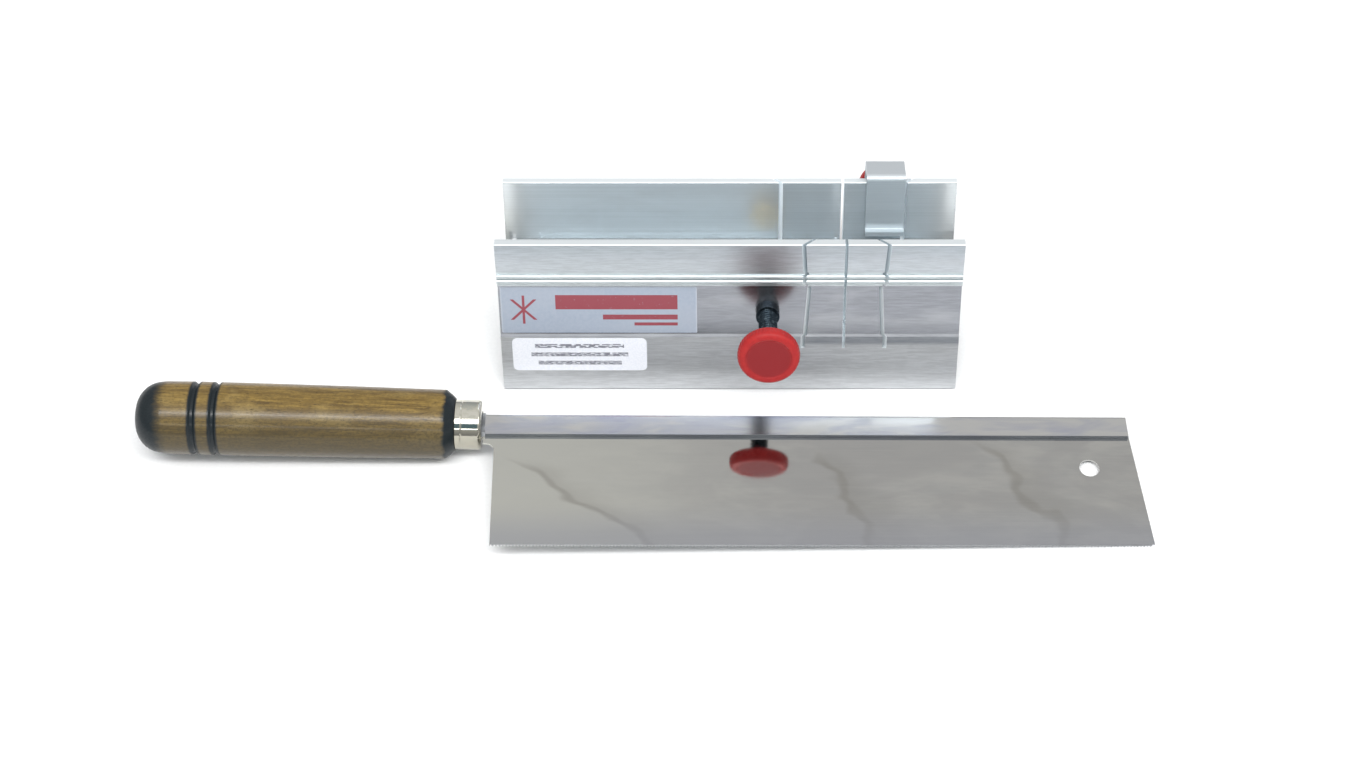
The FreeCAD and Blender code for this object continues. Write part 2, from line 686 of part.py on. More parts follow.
def make_handle():
    """Turned wooden handle: nose, burnt shoulder, swelling grip, two burnt grooves and a rounded butt."""
    nose = "-(ferrule_length - ferrule_wall - nose_gap)"
    bore = "tang_radius + seat_gap"
    bore_end = "tang_length - ferrule_start - ferrule_length + bore_spare"
    profile = [
        (nose, bore),
        (nose, "ferrule_radius - ferrule_wall - seat_gap"),
        ("0", "ferrule_radius - ferrule_wall - seat_gap"),
        ("0", "shoulder_radius"),
        ("shoulder_length", "front_radius"),
        ("grip_at", "grip_radius"),
    ]
    for groove in ("groove_near", "groove_far"):
        profile += [
            (groove + " - groove_radius", "grip_radius"),
            (groove, "grip_radius - groove_depth"),
            (groove + " + groove_radius", "grip_radius"),
        ]
    profile += [
        ("handle_length", "butt_radius"),
        ("handle_length", "0"),
        (bore_end, "0"),
        (bore_end, bore),
    ]
    body, _ = turned("handle", profile)
    round_edges(body, "butt_edge", "butt_round",
                lambda edge: circle_at(edge, value("handle_length"), value("butt_radius")))
    return body, handle_place("ferrule_start + ferrule_length")


# ---- where the two halves of the set lie ----

def box_on_table():
    """The box leans back until its lip's rear edge and its floor's rear edge both touch the table."""
    lean = math.atan2(value("floor_under"), value("channel_back + back_wall - channel_front"))
    rise = value("channel_front") * math.sin(lean)
    return Placement(Vector(0, 0, rise), Rotation(X_AXIS, -math.degrees(lean)))


def saw_on_table():
    """The saw rests on the front of its handle, the spine's toe and the last tooth."""
    spine_low, blade_low = value("spine_depth/2"), value("blade_depth/2")
    teeth_drop, spine_drop = value("blade_width"), value("spine_width")
    toe, last_tooth = value("blade_length"), value("blade_length + toe_slant")
    handle_at = value("ferrule_start + ferrule_length + shoulder_length")
    axis = value("axis_drop") - handle_at * math.tan(math.radians(value("handle_lean")))
    thick = value("front_radius")
    pitch = roll = 0.0
    for _ in range(SETTLE_STEPS):
        roll = (spine_low - blade_low - (last_tooth - toe) * pitch) / (teeth_drop - spine_drop)
        pitch = (thick - spine_low - (spine_drop - axis) * roll) / (toe + handle_at)
    height = spine_low + toe * pitch + spine_drop * roll
    turn = Rotation(Z_AXIS, value("saw_yaw"))
    lean = Rotation(Vector(0, 1, 0), math.degrees(math.asin(pitch)))
    tip = Rotation(X_AXIS, math.degrees(math.asin(roll)))
    return Placement(Vector(value("saw_x"), value("saw_y"), height), turn * lean * tip)


BOX_PIECES = [
    make_miter_box, make_panel_label, make_apron_label, make_bushing, make_clamp_screw, make_clamp_knob,
    make_swivel_pad, make_retaining_washer, make_stop_clip, make_press_nut, make_stop_screw, make_stop_tip,
    make_stop_knob,
]
SAW_PIECES = [make_saw_blade, make_saw_spine, make_tang, make_ferrule, make_handle]


def main():
    subparts = []
    for pieces, lies in ((BOX_PIECES, box_on_table()), (SAW_PIECES, saw_on_table())):
        for make in pieces:
            body, place = make()
            subparts.append((body, lies * place))
    doc.recompute()
    for body, place in subparts:
        body.Placement = place
    doc.recompute()

    whole = FreeCAD.BoundBox()
    for body, _ in subparts:
        whole.add(body.Shape.optimalBoundingBox())
    origin = Placement(Vector(-whole.Center.x, -whole.Center.y, -whole.ZMin), Rotation())
    for body, place in subparts:
        body.Placement = origin * place
    doc.recompute()

    for thing in doc.Objects:
        if "Invalid" in thing.State or "Error" in thing.State:
            raise RuntimeError(f"{thing.Label} failed: {thing.State}")
    os.makedirs("parts", exist_ok=True)
    for body, _ in subparts:
        shape = body.Shape
        if shape.isNull() or not shape.isValid() or len(shape.Solids) != 1:
            raise RuntimeError(f"{body.Label} is not one valid solid")
        shape.exportStep(f"parts/{body.Label}.step")
        print(f"{body.Label}: {shape.Volume:.1f} mm3")


main()
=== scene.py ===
"""Looks of the miter box and its back saw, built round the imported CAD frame.

Lengths are in metres, except in the materials and in the pieces' own frames, which count in millimetres.
Box frame: x along the extrusion, y from the lip to the back wall, z up the walls.
Saw frame: x from heel to toe, y towards the spine's top edge, z square to the blade.
Turned pieces have their own x along the axis that they were turned about.
"""

import json
import math

import bmesh
import bpy
from mathutils import Matrix, Vector


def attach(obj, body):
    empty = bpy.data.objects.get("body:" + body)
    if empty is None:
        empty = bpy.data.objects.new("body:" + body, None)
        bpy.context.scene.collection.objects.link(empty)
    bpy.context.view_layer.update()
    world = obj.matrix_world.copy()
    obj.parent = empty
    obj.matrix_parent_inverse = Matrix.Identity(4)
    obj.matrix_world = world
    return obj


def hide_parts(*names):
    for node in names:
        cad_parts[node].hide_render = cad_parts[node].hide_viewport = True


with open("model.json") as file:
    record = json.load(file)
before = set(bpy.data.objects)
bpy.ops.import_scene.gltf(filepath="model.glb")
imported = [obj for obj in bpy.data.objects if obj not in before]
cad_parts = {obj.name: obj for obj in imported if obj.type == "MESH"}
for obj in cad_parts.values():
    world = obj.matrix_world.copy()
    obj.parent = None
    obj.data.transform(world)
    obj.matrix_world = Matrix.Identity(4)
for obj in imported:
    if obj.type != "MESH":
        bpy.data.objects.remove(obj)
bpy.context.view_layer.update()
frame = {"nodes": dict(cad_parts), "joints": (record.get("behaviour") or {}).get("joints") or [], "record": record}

MM = 0.001
JOINTS = {joint["name"]: joint for joint in frame["joints"]}
MOUNTS = {mount["name"]: mount for mount in frame["record"]["mounts"]}


# ---- frames, read from the record, and measures of the CAD nodes in them ----

def frame_of(origin, x_axis, z_hint):
    """Matrix of a millimetre frame, from an origin in metres, an x axis and a vector near its z axis."""
    x = Vector(x_axis).normalized()
    y = Vector(z_hint).cross(x).normalized()
    z = x.cross(y)
    turn = Matrix((x, y, z)).transposed().to_4x4()
    return Matrix.Translation(origin) @ turn @ Matrix.Scale(MM, 4)


def extent(node, place):
    """Lowest and highest corner of a CAD node in a frame, in that frame's millimetres."""
    spots = [place.inverted() @ vertex.co for vertex in frame["nodes"][node].data.vertices]
    low = Vector([min(spot[axis] for spot in spots) for axis in range(3)])
    high = Vector([max(spot[axis] for spot in spots) for axis in range(3)])
    return low, high


WORLD_X = Vector((1, 0, 0))
FENCE_WAY = Vector(JOINTS["clamp_feed"]["axis"])
BOX_UP = WORLD_X.cross(FENCE_WAY)
BOX_TURN = frame_of((0, 0, 0), WORLD_X, BOX_UP)
BOX_LOW, BOX_HIGH = extent("miter_box", BOX_TURN)
BOX_MIDDLE = (BOX_LOW.x + BOX_HIGH.x) / 2
BOX = frame_of(BOX_TURN @ Vector((BOX_MIDDLE, BOX_LOW.y, BOX_LOW.z)), WORLD_X, BOX_UP)

CLAMP = frame_of(JOINTS["clamp_turn"]["pos_m"], -FENCE_WAY, BOX_UP)
STOP = frame_of(JOINTS["stop_turn"]["pos_m"], FENCE_WAY, BOX_UP)

HANDLE_LEAN = 1.48       # degrees between the handle's axis and the spine, away from the teeth
BLADE_UP = Vector(MOUNTS["hang_hole"]["axis"])
GRIP_WAY = Vector(MOUNTS["hand_grip"]["axis"])
HANDLE = frame_of(MOUNTS["hand_grip"]["pos_m"], GRIP_WAY, BLADE_UP)
TOE_WAY = Matrix.Rotation(math.radians(HANDLE_LEAN), 3, BLADE_UP) @ -GRIP_WAY
SAW_TURN = frame_of(MOUNTS["hand_grip"]["pos_m"], TOE_WAY, BLADE_UP)
SPINE_LOW, SPINE_HIGH = extent("saw_spine", SAW_TURN)
SAW = frame_of(SAW_TURN @ Vector((SPINE_LOW.x, SPINE_HIGH.y, 0)), TOE_WAY, BLADE_UP)
SPINE_WIDTH = SPINE_HIGH.y - SPINE_LOW.y


# ---- making pieces ----

def finish_piece(name, mesh, place, body, node, look, smooth_angle=35):
    """Object for a mesh in its own frame: it takes a CAD node's place and rides on that node's body."""
    piece = bpy.data.objects.new(name, mesh)
    bpy.context.scene.collection.objects.link(piece)
    piece.matrix_world = place
    mesh.materials.append(look)
    mesh.shade_smooth()
    mesh.set_sharp_from_angle(angle=math.radians(smooth_angle))
    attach(piece, body)
    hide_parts(node)
    return piece


def rounded(corners, steps=6):
    """Outline through (x, y, radius) corners, with each corner turned into an arc of its radius."""
    outline = []
    for place, (x, y, radius) in enumerate(corners):
        here = Vector((x, y))
        if not radius or place in (0, len(corners) - 1):
            outline.append(here)
            continue
        before = (Vector(corners[place - 1][:2]) - here).normalized()
        after = (Vector(corners[place + 1][:2]) - here).normalized()
        half = before.angle(after) / 2
        start = here + before * (radius / math.tan(half))
        centre = here + (before + after).normalized() * (radius / math.sin(half))
        end = here + after * (radius / math.tan(half))
        first, last = start - centre, end - centre
        sweep = math.atan2(first.x * last.y - first.y * last.x, first.dot(last))
        for step in range(steps + 1):
            angle = sweep * step / steps
            turned = Vector((first.x * math.cos(angle) - first.y * math.sin(angle),
                             first.x * math.sin(angle) + first.y * math.cos(angle)))
            outline.append(centre + turned)
    return outline


ON_AXIS = 1e-4           # a point nearer to the axis than this closes a turned outline


def lathe(name, outline, segments=96, wobble=None):
    """Mesh turned about x from an outline of (x, radius) points; points on the axis close it."""
    mesh = bpy.data.meshes.new(name)
    bm = bmesh.new()
    rings = []
    for x, radius in outline:
        if radius < ON_AXIS:
            rings.append([bm.verts.new((x, 0, 0))])
            continue
        ring = []
        for step in range(segments):
            angle = math.tau * step / segments
            reach = radius + (wobble(x, radius, angle) if wobble else 0.0)
            ring.append(bm.verts.new((x, reach * math.cos(angle), reach * math.sin(angle))))
        rings.append(ring)
    for inner, outer in zip(rings, rings[1:]):
        for step in range(segments):
            after = step + 1
            corners = [inner[step % len(inner)], inner[after % len(inner)],
                       outer[after % len(outer)], outer[step % len(outer)]]
            unique = list(dict.fromkeys(corners))
            if len(unique) > 2:
                bm.faces.new(unique)
    bmesh.ops.recalc_face_normals(bm, faces=bm.faces)
    bm.to_mesh(mesh)
    bm.free()
    return mesh


THREAD_DEPTH = 0.54      # of the pitch
THREAD_ROWS = 10         # rows of points to a turn
THREAD_FLANK = 3.4       # how steeply a tooth rises, over half a pitch
TOOTH_WIDTH = 1.25       # the larger, the wider a tooth's crest


def screw_mesh(name, front, start, end, crest, pitch, tail):
    """Screw along x: the outline front, then a thread from start to end, then the outline tail."""
    root = crest - THREAD_DEPTH * pitch
    count = int((end - start) / pitch * THREAD_ROWS)

    def thread(x, radius, angle):
        """Height of the thread over its root, fading out at both ends."""
        if radius != root:
            return 0.0
        phase = (x / pitch - angle / math.tau) % 1.0
        tooth = min(1.0, max(0.0, TOOTH_WIDTH - abs(phase - 0.5) * THREAD_FLANK))
        fade = max(0.0, min(1.0, (x - start) / pitch, (end - x) / pitch))
        return (crest - root) * tooth * fade

    spots = [(start + (end - start) * row / count, root) for row in range(count + 1)]
    return lathe(name, front + spots + tail, segments=36, wobble=thread)


# ---- materials: lengths in millimetres ----

class Look:
    """One material: its node tree, its Principled shader and short ways to add to them."""

    def __init__(self, name, place=None, **fixed):
        self.material = bpy.data.materials.new(name)
        self.material.use_nodes = True
        self.tree = self.material.node_tree
        self.shader = self.tree.nodes["Principled BSDF"]
        for socket, amount in fixed.items():
            self.shader.inputs[socket.replace("_", " ")].default_value = amount
        self.at = self.tree.nodes.new("ShaderNodeTexCoord").outputs["Object"]
        if place:
            self.at = self.into(place)

    def put(self, socket, entry):
        """Give a socket a number, a colour or another node's output."""
        if isinstance(entry, bpy.types.NodeSocket):
            self.tree.links.new(entry, socket)
        elif entry is not None:
            socket.default_value = (*entry, 1.0) if socket.type == "RGBA" and len(entry) == 3 else entry

    def into(self, place):
        """Coordinates in a frame of its own, in millimetres."""
        node = self.tree.nodes.new("ShaderNodeMapping")
        node.vector_type = "TEXTURE"
        where, turn, scale = place.decompose()
        node.inputs["Location"].default_value = where
        node.inputs["Rotation"].default_value = turn.to_euler()
        node.inputs["Scale"].default_value = scale
        self.tree.links.new(self.at, node.inputs["Vector"])
        return node.outputs["Vector"]

    def stretch(self, x, y, z):
        """Coordinates in cells: so many to a millimetre along each axis."""
        node = self.tree.nodes.new("ShaderNodeVectorMath")
        node.operation = "MULTIPLY"
        self.put(node.inputs[0], self.at)
        node.inputs[1].default_value = (x, y, z)
        return node.outputs[0]

    def along(self, direction, shift=0.0):
        """How far a point lies along a direction."""
        node = self.tree.nodes.new("ShaderNodeVectorMath")
        node.operation = "DOT_PRODUCT"
        self.put(node.inputs[0], self.at)
        node.inputs[1].default_value = direction
        return self.sum("ADD", node.outputs["Value"], shift) if shift else node.outputs["Value"]

    def noise(self, vector, detail=3.0, roughness=0.55, distortion=0.0):
        """Noise of one cell to a unit of the coordinates."""
        node = self.tree.nodes.new("ShaderNodeTexNoise")
        for socket, entry in (("Vector", vector), ("Scale", 1.0), ("Detail", detail),
                              ("Roughness", roughness), ("Distortion", distortion)):
            self.put(node.inputs[socket], entry)
        return node.outputs["Fac"]

    def sum(self, operation, first, second=None, third=None):
        """One step of arithmetic on numbers or outputs."""
        node = self.tree.nodes.new("ShaderNodeMath")
        node.operation = operation
        for socket, entry in zip(node.inputs, (first, second, third)):
            self.put(socket, entry)
        return node.outputs[0]

    def ramp(self, share, low, high, start=0.0, end=1.0):
        """Turn a share from low..high into start..end, smoothly and clamped."""
        node = self.tree.nodes.new("ShaderNodeMapRange")
        node.interpolation_type = "SMOOTHSTEP"
        for socket, entry in zip(node.inputs, (share, low, high, start, end)):
            self.put(socket, entry)
        return node.outputs[0]

    def above(self, spot, level, soft):
        """One above a level of a coordinate and nought below it, with a soft step."""
        return self.ramp(spot, level - soft, level + soft)

    def below(self, spot, level, soft):
        """One below a level of a coordinate and nought above it, with a soft step."""
        return self.ramp(spot, level - soft, level + soft, 1.0, 0.0)

    def mix(self, share, first, second, blend="MIX"):
        """Colour between two others: the first at a share of nought, the second at one."""
        node = self.tree.nodes.new("ShaderNodeMix")
        node.data_type = "RGBA"
        node.blend_type = blend
        for socket, entry in zip((node.inputs["Factor"], *[s for s in node.inputs if s.type == "RGBA"]),
                                 (share, first, second)):
            self.put(socket, entry)
        return next(s for s in node.outputs if s.type == "RGBA")

    def band(self, spot, middle, half, soft=0.3):
        """One inside a band of a coordinate and nought outside it, with soft edges."""
        off = self.sum("ABSOLUTE", self.sum("SUBTRACT", spot, middle))
        return self.ramp(off, half, half + soft, 1.0, 0.0)

    def bump(self, height, strength, distance):
        """Relief from a height, on top of any relief that is there already."""
        node = self.tree.nodes.new("ShaderNodeBump")
        node.inputs["Strength"].default_value = strength
        node.inputs["Distance"].default_value = distance
        self.put(node.inputs["Height"], height)
        if self.shader.inputs["Normal"].is_linked:
            self.put(node.inputs["Normal"], self.shader.inputs["Normal"].links[0].from_socket)
        self.put(self.shader.inputs["Normal"], node.outputs["Normal"])

    def finish(self, colour=None, rough=None, metal=None):
        """Connect what was worked out to the shader, and hand over the material."""
        for socket, entry in (("Base Color", colour), ("Roughness", rough), ("Metallic", metal)):
            if entry is not None:
                self.put(self.shader.inputs[socket], entry)
        return self.material


def die_lines(look, count):
    """Shares for extruded metal: die lines along x, so many to a millimetre, and a slow clouding."""
    lines = look.noise(look.stretch(0.012, count, count), detail=4.0, roughness=0.65)
    cloud = look.noise(look.stretch(0.03, 0.10, 0.10), detail=3.0, distortion=0.5)
    return lines, cloud


# levels in the box's section, where one zone ends and the next begins
SLOT_FOOT = 16.8
APRON_TOP = 21.9
PANEL_TOP = 41.1
BEADS_TOP = 46.4
FRONT_TOP = 57.45
BACK_TOP = 60.15
CHANNEL_FACE = 3.6       # the outside's finish is in front of this, the channel's behind it
SLOT_X, SLOT_Y = 37.9, 13.9      # where the three saw cuts cross
SLOT_HALF = 0.47                 # half a cut's width

# The front's zone colours are the metal's own colour with light and shade painted in: painted light on the rail
# and the apron, painted shade on the rail's upper part and the panel, and a painted highlight on the beads.
RAIL_PAINTED_LIGHT = (0.55, 0.585, 0.62)
RAIL_TOP_PAINTED_SHADE = (0.41, 0.445, 0.48)
BEAD_PAINTED_HIGHLIGHT = (0.60, 0.65, 0.665)
PANEL_PAINTED_SHADE = (0.26, 0.27, 0.295)
CREASE_PAINTED_SHADE = (0.30, 0.31, 0.33)
LEDGE_PAINTED_SHADE = (0.33, 0.35, 0.38)
APRON_PAINTED_LIGHT = (0.575, 0.59, 0.605)
TOP_COLOUR = (0.74, 0.78, 0.80)
CHANNEL_COLOUR = (0.82, 0.88, 0.91)
CHANNEL_SHADE = (0.69, 0.75, 0.78)
CHANNEL_ENDS_SHADE = (0.55, 0.57, 0.57)
CLOUD_COLOUR = (0.62, 0.64, 0.66)
MARK_COLOUR = (0.36, 0.38, 0.40)
SAWN_INSIDE = (0.90, 0.95, 0.98)
SAWN_PANEL_SHADE = (0.66, 0.70, 0.72)
SAWN_RAIL_SHADE = (0.56, 0.63, 0.67)


def sawn_slots(look):
    """One on the faces of the three saw cuts: one square, and two at 45 degrees."""
    sawn = None
    for turn in (-45, 0, 45):
        way = (math.cos(math.radians(turn)), math.sin(math.radians(turn)), 0.0)
        off = look.along(way, -(SLOT_X * way[0] + SLOT_Y * way[1]))
        slot = look.band(off, 0.0, SLOT_HALF, 0.02)
        sawn = slot if sawn is None else look.sum("MAXIMUM", sawn, slot)
    return look.sum("MULTIPLY", sawn, look.above(look.along((0, 0, 1)), SLOT_FOOT, 0.2))


def box_aluminium(name, place):
    """Extruded box: satin front in zones coloured with painted light and shade, a cooler channel with painted
    shade to the right and at its ends, sawn slots with painted shade on their outer faces, and a few handling
    marks.
    """
    look = Look(name, place)
    lines, cloud = die_lines(look, 3.6)
    across, depth, height = (look.along(way) for way in ((1, 0, 0), (0, 1, 0), (0, 0, 1)))
    outside = look.below(depth, CHANNEL_FACE, 0.6)
    front_top = look.sum("MULTIPLY", look.above(height, FRONT_TOP, 0.15), look.below(depth, 5.0, 0.5))
    tops = look.sum("MAXIMUM", front_top, look.above(height, BACK_TOP, 0.15))
    crease = look.band(height, APRON_TOP - 0.15, 0.35, 0.15)
    panel = look.sum("MULTIPLY", look.above(height, APRON_TOP, 0.3), look.below(height, PANEL_TOP, 0.3))
    apron = look.below(height, APRON_TOP, 0.3)
    # painted shade: a dark band just under the crease, on the apron's right side
    ledge_shade = look.sum("MULTIPLY", look.band(height, 20.2, 0.9, 1.6), look.ramp(across, 12.0, 30.0))
    sawn = sawn_slots(look)

    # painted shade: the channel darkens towards its right side
    channel = look.mix(look.ramp(across, 8.0, 20.0), CHANNEL_COLOUR, CHANNEL_SHADE)
    # painted shade: the channel is darkened at both ends
    ends = look.ramp(look.sum("ABSOLUTE", across), 66.0, 73.0, 0.0, 0.6)
    channel = look.mix(ends, channel, CHANNEL_ENDS_SHADE)
    # painted light and shade by zone: the rail, its darker upper part, the beads, the panel and the apron
    colour = look.mix(look.ramp(height, 48.0, 57.0), RAIL_PAINTED_LIGHT, RAIL_TOP_PAINTED_SHADE)
    colour = look.mix(look.below(height, BEADS_TOP, 0.2), colour, BEAD_PAINTED_HIGHLIGHT)
    colour = look.mix(panel, colour, PANEL_PAINTED_SHADE)
    colour = look.mix(apron, colour, look.mix(ledge_shade, APRON_PAINTED_LIGHT, LEDGE_PAINTED_SHADE))
    # painted shade along the crease between the apron and the panel
    colour = look.mix(crease, colour, CREASE_PAINTED_SHADE)
    brushed = look.noise(look.stretch(0.16, 1.8, 1.8), detail=3.0, roughness=0.7)
    colour = look.mix(1.0, colour, look.ramp(brushed, 0.35, 0.65, 0.90, 1.07), "MULTIPLY")
    colour = look.mix(outside, channel, colour)
    colour = look.mix(tops, colour, TOP_COLOUR)
    colour = look.mix(1.0, colour, look.ramp(lines, 0.3, 0.7, 0.95, 1.05), "MULTIPLY")
    colour = look.mix(look.ramp(cloud, 0.45, 0.75, 0.0, 0.25), colour, CLOUD_COLOUR)
    marks = look.ramp(look.noise(look.stretch(0.25, 1.1, 1.1), detail=6.0, roughness=0.8), 0.69, 0.75)
    colour = look.mix(look.sum("MULTIPLY", marks, 0.15), colour, MARK_COLOUR)
    # The sawn faces are raw metal: pale inside the channel, and on the outside darkened with painted shade, most
    # in the rail.
    sawn_outside_shade = look.mix(look.ramp(height, 42.0, 46.0), SAWN_PANEL_SHADE, SAWN_RAIL_SHADE)
    colour = look.mix(sawn, colour, look.mix(outside, SAWN_INSIDE, sawn_outside_shade))

    rough = look.sum("MULTIPLY_ADD", outside, 0.20, 0.18)
    rough = look.sum("MULTIPLY_ADD", panel, -0.22, rough)
    rough = look.sum("ADD", rough, look.ramp(lines, 0.2, 0.8, -0.02, 0.02))
    rough = look.sum("ADD", rough, look.ramp(cloud, 0.35, 0.7, 0.0, 0.04))
    dull = look.sum("MAXIMUM", sawn, look.sum("MAXIMUM", tops, crease))
    rough = look.sum("MAXIMUM", rough, look.sum("MULTIPLY", dull, 0.5))
    metal = look.sum("MULTIPLY_ADD", outside, 0.20, 0.72)
    metal = look.sum("MULTIPLY_ADD", dull, -0.45, metal)
    look.bump(lines, 0.012, 0.00005)
    look.bump(marks, 0.03, 0.00004)
    return look.finish(colour, rough, metal)


CLIP_BEND = 63.0         # height of the bend over the back wall


def strip_aluminium(name, place):
    """Bent strip: satin, with die lines along x and painted light on its top."""
    look = Look(name, place, Metallic=0.6)
    lines, cloud = die_lines(look, 5.0)
    colour = look.mix(look.ramp(lines, 0.3, 0.7), (0.48, 0.54, 0.58), (0.55, 0.61, 0.64))
    colour = look.mix(look.ramp(cloud, 0.45, 0.7, 0.0, 0.3), colour, (0.66, 0.69, 0.71))
    # painted light: the top over the bend is lighter than the legs
    colour = look.mix(look.above(look.along((0, 0, 1)), CLIP_BEND, 0.4), colour, (0.62, 0.66, 0.69))
    look.bump(lines, 0.04, 0.00006)
    return look.finish(colour, look.ramp(lines, 0.2, 0.8, 0.30, 0.40))


# lean, start along the spine and upper end of each water mark on the blade
TIDE_MARKS = ((1.45, -18.0, -20.0), (0.55, 100.0, -16.0), (0.74, 152.0, -12.0))
TIDE_WANDER = 22.0       # how far a water mark strays from a straight line


def blade_steel(name):
    """Ground plate: lines along x, warm patina in tide-marked patches, bluer towards the teeth, and a painted
    shadow under the spine.
    """
    look = Look(name, Metallic=1.0)
    up = look.along((0, 1, 0))
    lines = look.noise(look.stretch(0.02, 7.0, 7.0), detail=3.0, roughness=0.7)
    wander = look.noise(look.stretch(0.045, 0.075, 0.0), detail=2.0, roughness=0.5)
    tide = None
    for slope, start, reach in TIDE_MARKS:
        straight = look.along((1, slope, 0), -start - TIDE_WANDER / 2)
        off = look.sum("MULTIPLY_ADD", wander, TIDE_WANDER, straight)
        rim = look.sum("MULTIPLY", look.band(off, 0.5, 0.7, 2.4), 0.6)
        stain = look.sum("MULTIPLY", look.ramp(off, 0.0, 16.0, 0.6, 0.0), look.ramp(off, -1.5, 0.6))
        mark = look.sum("MULTIPLY", look.sum("ADD", rim, stain), look.below(up, reach, 4.0))
        tide = mark if tide is None else look.sum("MAXIMUM", tide, mark)
    cloud = look.noise(look.stretch(0.022, 0.05, 0.03), detail=3.0, distortion=0.8)
    mottle = look.noise(look.stretch(0.06, 0.22, 0.2), detail=4.0, roughness=0.6)
    colour = look.mix(look.ramp(mottle, 0.3, 0.7), (0.50, 0.495, 0.47), (0.445, 0.445, 0.43))
    colour = look.mix(look.ramp(cloud, 0.42, 0.60, 0.0, 0.7), colour, (0.415, 0.41, 0.40))
    colour = look.mix(look.ramp(look.along((1, 0, 0)), 5.0, 110.0, 0.85, 0.0), colour, (0.62, 0.62, 0.565))
    colour = look.mix(look.sum("MULTIPLY", tide, 0.42), colour, (0.27, 0.255, 0.225))
    colour = look.mix(look.ramp(up, -50.0, -34.0, 0.6, 0.0), colour, (0.40, 0.415, 0.46))
    colour = look.mix(look.ramp(lines, 0.35, 0.75, 0.0, 0.15), colour, (0.60, 0.60, 0.59))
    # painted shadow: a dark line on the plate just under the spine
    spine_shadow = look.ramp(up, -SPINE_WIDTH - 0.9, -SPINE_WIDTH - 0.2, 0.0, 0.2)
    colour = look.mix(spine_shadow, colour, (0.13, 0.14, 0.17))
    rough = look.ramp(mottle, 0.3, 0.7, 0.05, 0.09)
    rough = look.sum("ADD", rough, look.sum("MULTIPLY", tide, 0.05))
    look.bump(lines, 0.02, 0.00004)
    return look.finish(colour, rough)


def spine_steel(name, place):
    """Folded strip: satin, with violet-blue tints in patches, a bright worn fold and painted shade on its lower
    edge.
    """
    look = Look(name, place, Metallic=1.0)
    up = look.along((0, 1, 0))
    lines = look.noise(look.stretch(0.02, 5.0, 5.0), detail=4.0, roughness=0.7)
    tints = look.noise(look.stretch(0.035, 0.16, 0.16), detail=3.0, roughness=0.55, distortion=0.5)
    colour = look.mix(look.ramp(tints, 0.42, 0.62), (0.59, 0.59, 0.58), (0.49, 0.50, 0.55))
    colour = look.mix(look.ramp(tints, 0.60, 0.74, 0.0, 0.5), colour, (0.37, 0.385, 0.51))
    colour = look.mix(look.ramp(lines, 0.4, 0.75, 0.0, 0.2), colour, (0.68, 0.68, 0.67))
    colour = look.mix(look.ramp(up, -0.9, 0.0, 0.0, 0.5), colour, (0.8, 0.8, 0.8))
    # painted shade: the spine's lower edge is darkened into a dark line, and also made rougher
    edge = look.ramp(up, -SPINE_WIDTH + 0.02, -SPINE_WIDTH + 0.22, 0.9, 0.0)
    colour = look.mix(edge, colour, (0.12, 0.132, 0.152))
    rough = look.sum("MULTIPLY_ADD", edge, 0.4, look.ramp(tints, 0.3, 0.7, 0.15, 0.24))
    look.bump(lines, 0.04, 0.00005)
    return look.finish(colour, rough)


UNDERSIDE = (0.0, 0.85, -0.53)      # in the handle's frame: down and towards the teeth


def turned_metal(name, colour, dark, gloss, tint):
    """Metal turned about x: rings from the tool, a tinted tarnish, and painted shade underneath."""
    look = Look(name, Metallic=1.0)
    rings = look.noise(look.stretch(6.0, 0.05, 0.05), detail=3.0)
    tarnish = look.noise(look.stretch(0.35, 0.35, 0.35), detail=4.0, distortion=0.4)
    shade = look.mix(look.ramp(tarnish, 0.35, 0.7), colour, dark)
    shade = look.mix(look.ramp(tarnish, 0.5, 0.62, 0.0, 0.35), shade, tint)
    # painted shade: darker towards the underside
    shade = look.mix(look.ramp(look.along(UNDERSIDE), -3.0, 5.0, 0.0, 0.8), shade, (0.36, 0.34, 0.28))
    rough = look.ramp(tarnish, 0.3, 0.7, gloss, gloss + 0.05)
    look.bump(rings, 0.08, 0.00005)
    return look.finish(shade, rough)


def cad_metal(name, place, colour, dark, gloss):
    """Plated or turned metal on a CAD node, in that piece's own frame."""
    look = Look(name, place, Metallic=1.0)
    grain = look.noise(look.stretch(2.5, 1.2, 1.2), detail=4.0, roughness=0.65)
    tarnish = look.noise(look.stretch(0.3, 0.3, 0.3), detail=3.0, distortion=0.5)
    shade = look.mix(look.ramp(tarnish, 0.35, 0.7), colour, dark)
    rough = look.ramp(grain, 0.3, 0.7, gloss, gloss + 0.14)
    look.bump(grain, 0.08, 0.00005)
    return look.finish(shade, rough)


def black_oxide(name, place=None):
    """Blued steel: near black, greyer where it has been rubbed."""
    look = Look(name, place, Metallic=0.85)
    rub = look.noise(look.stretch(0.8, 0.8, 0.8), detail=5.0, roughness=0.7)
    grain = look.noise(look.stretch(7.0, 7.0, 7.0), detail=2.0)
    colour = look.mix(look.ramp(rub, 0.5, 0.72), (0.018, 0.028, 0.038), (0.10, 0.13, 0.15))
    rough = look.ramp(rub, 0.3, 0.7, 0.26, 0.42)
    look.bump(grain, 0.12, 0.00004)
    return look.finish(colour, rough)


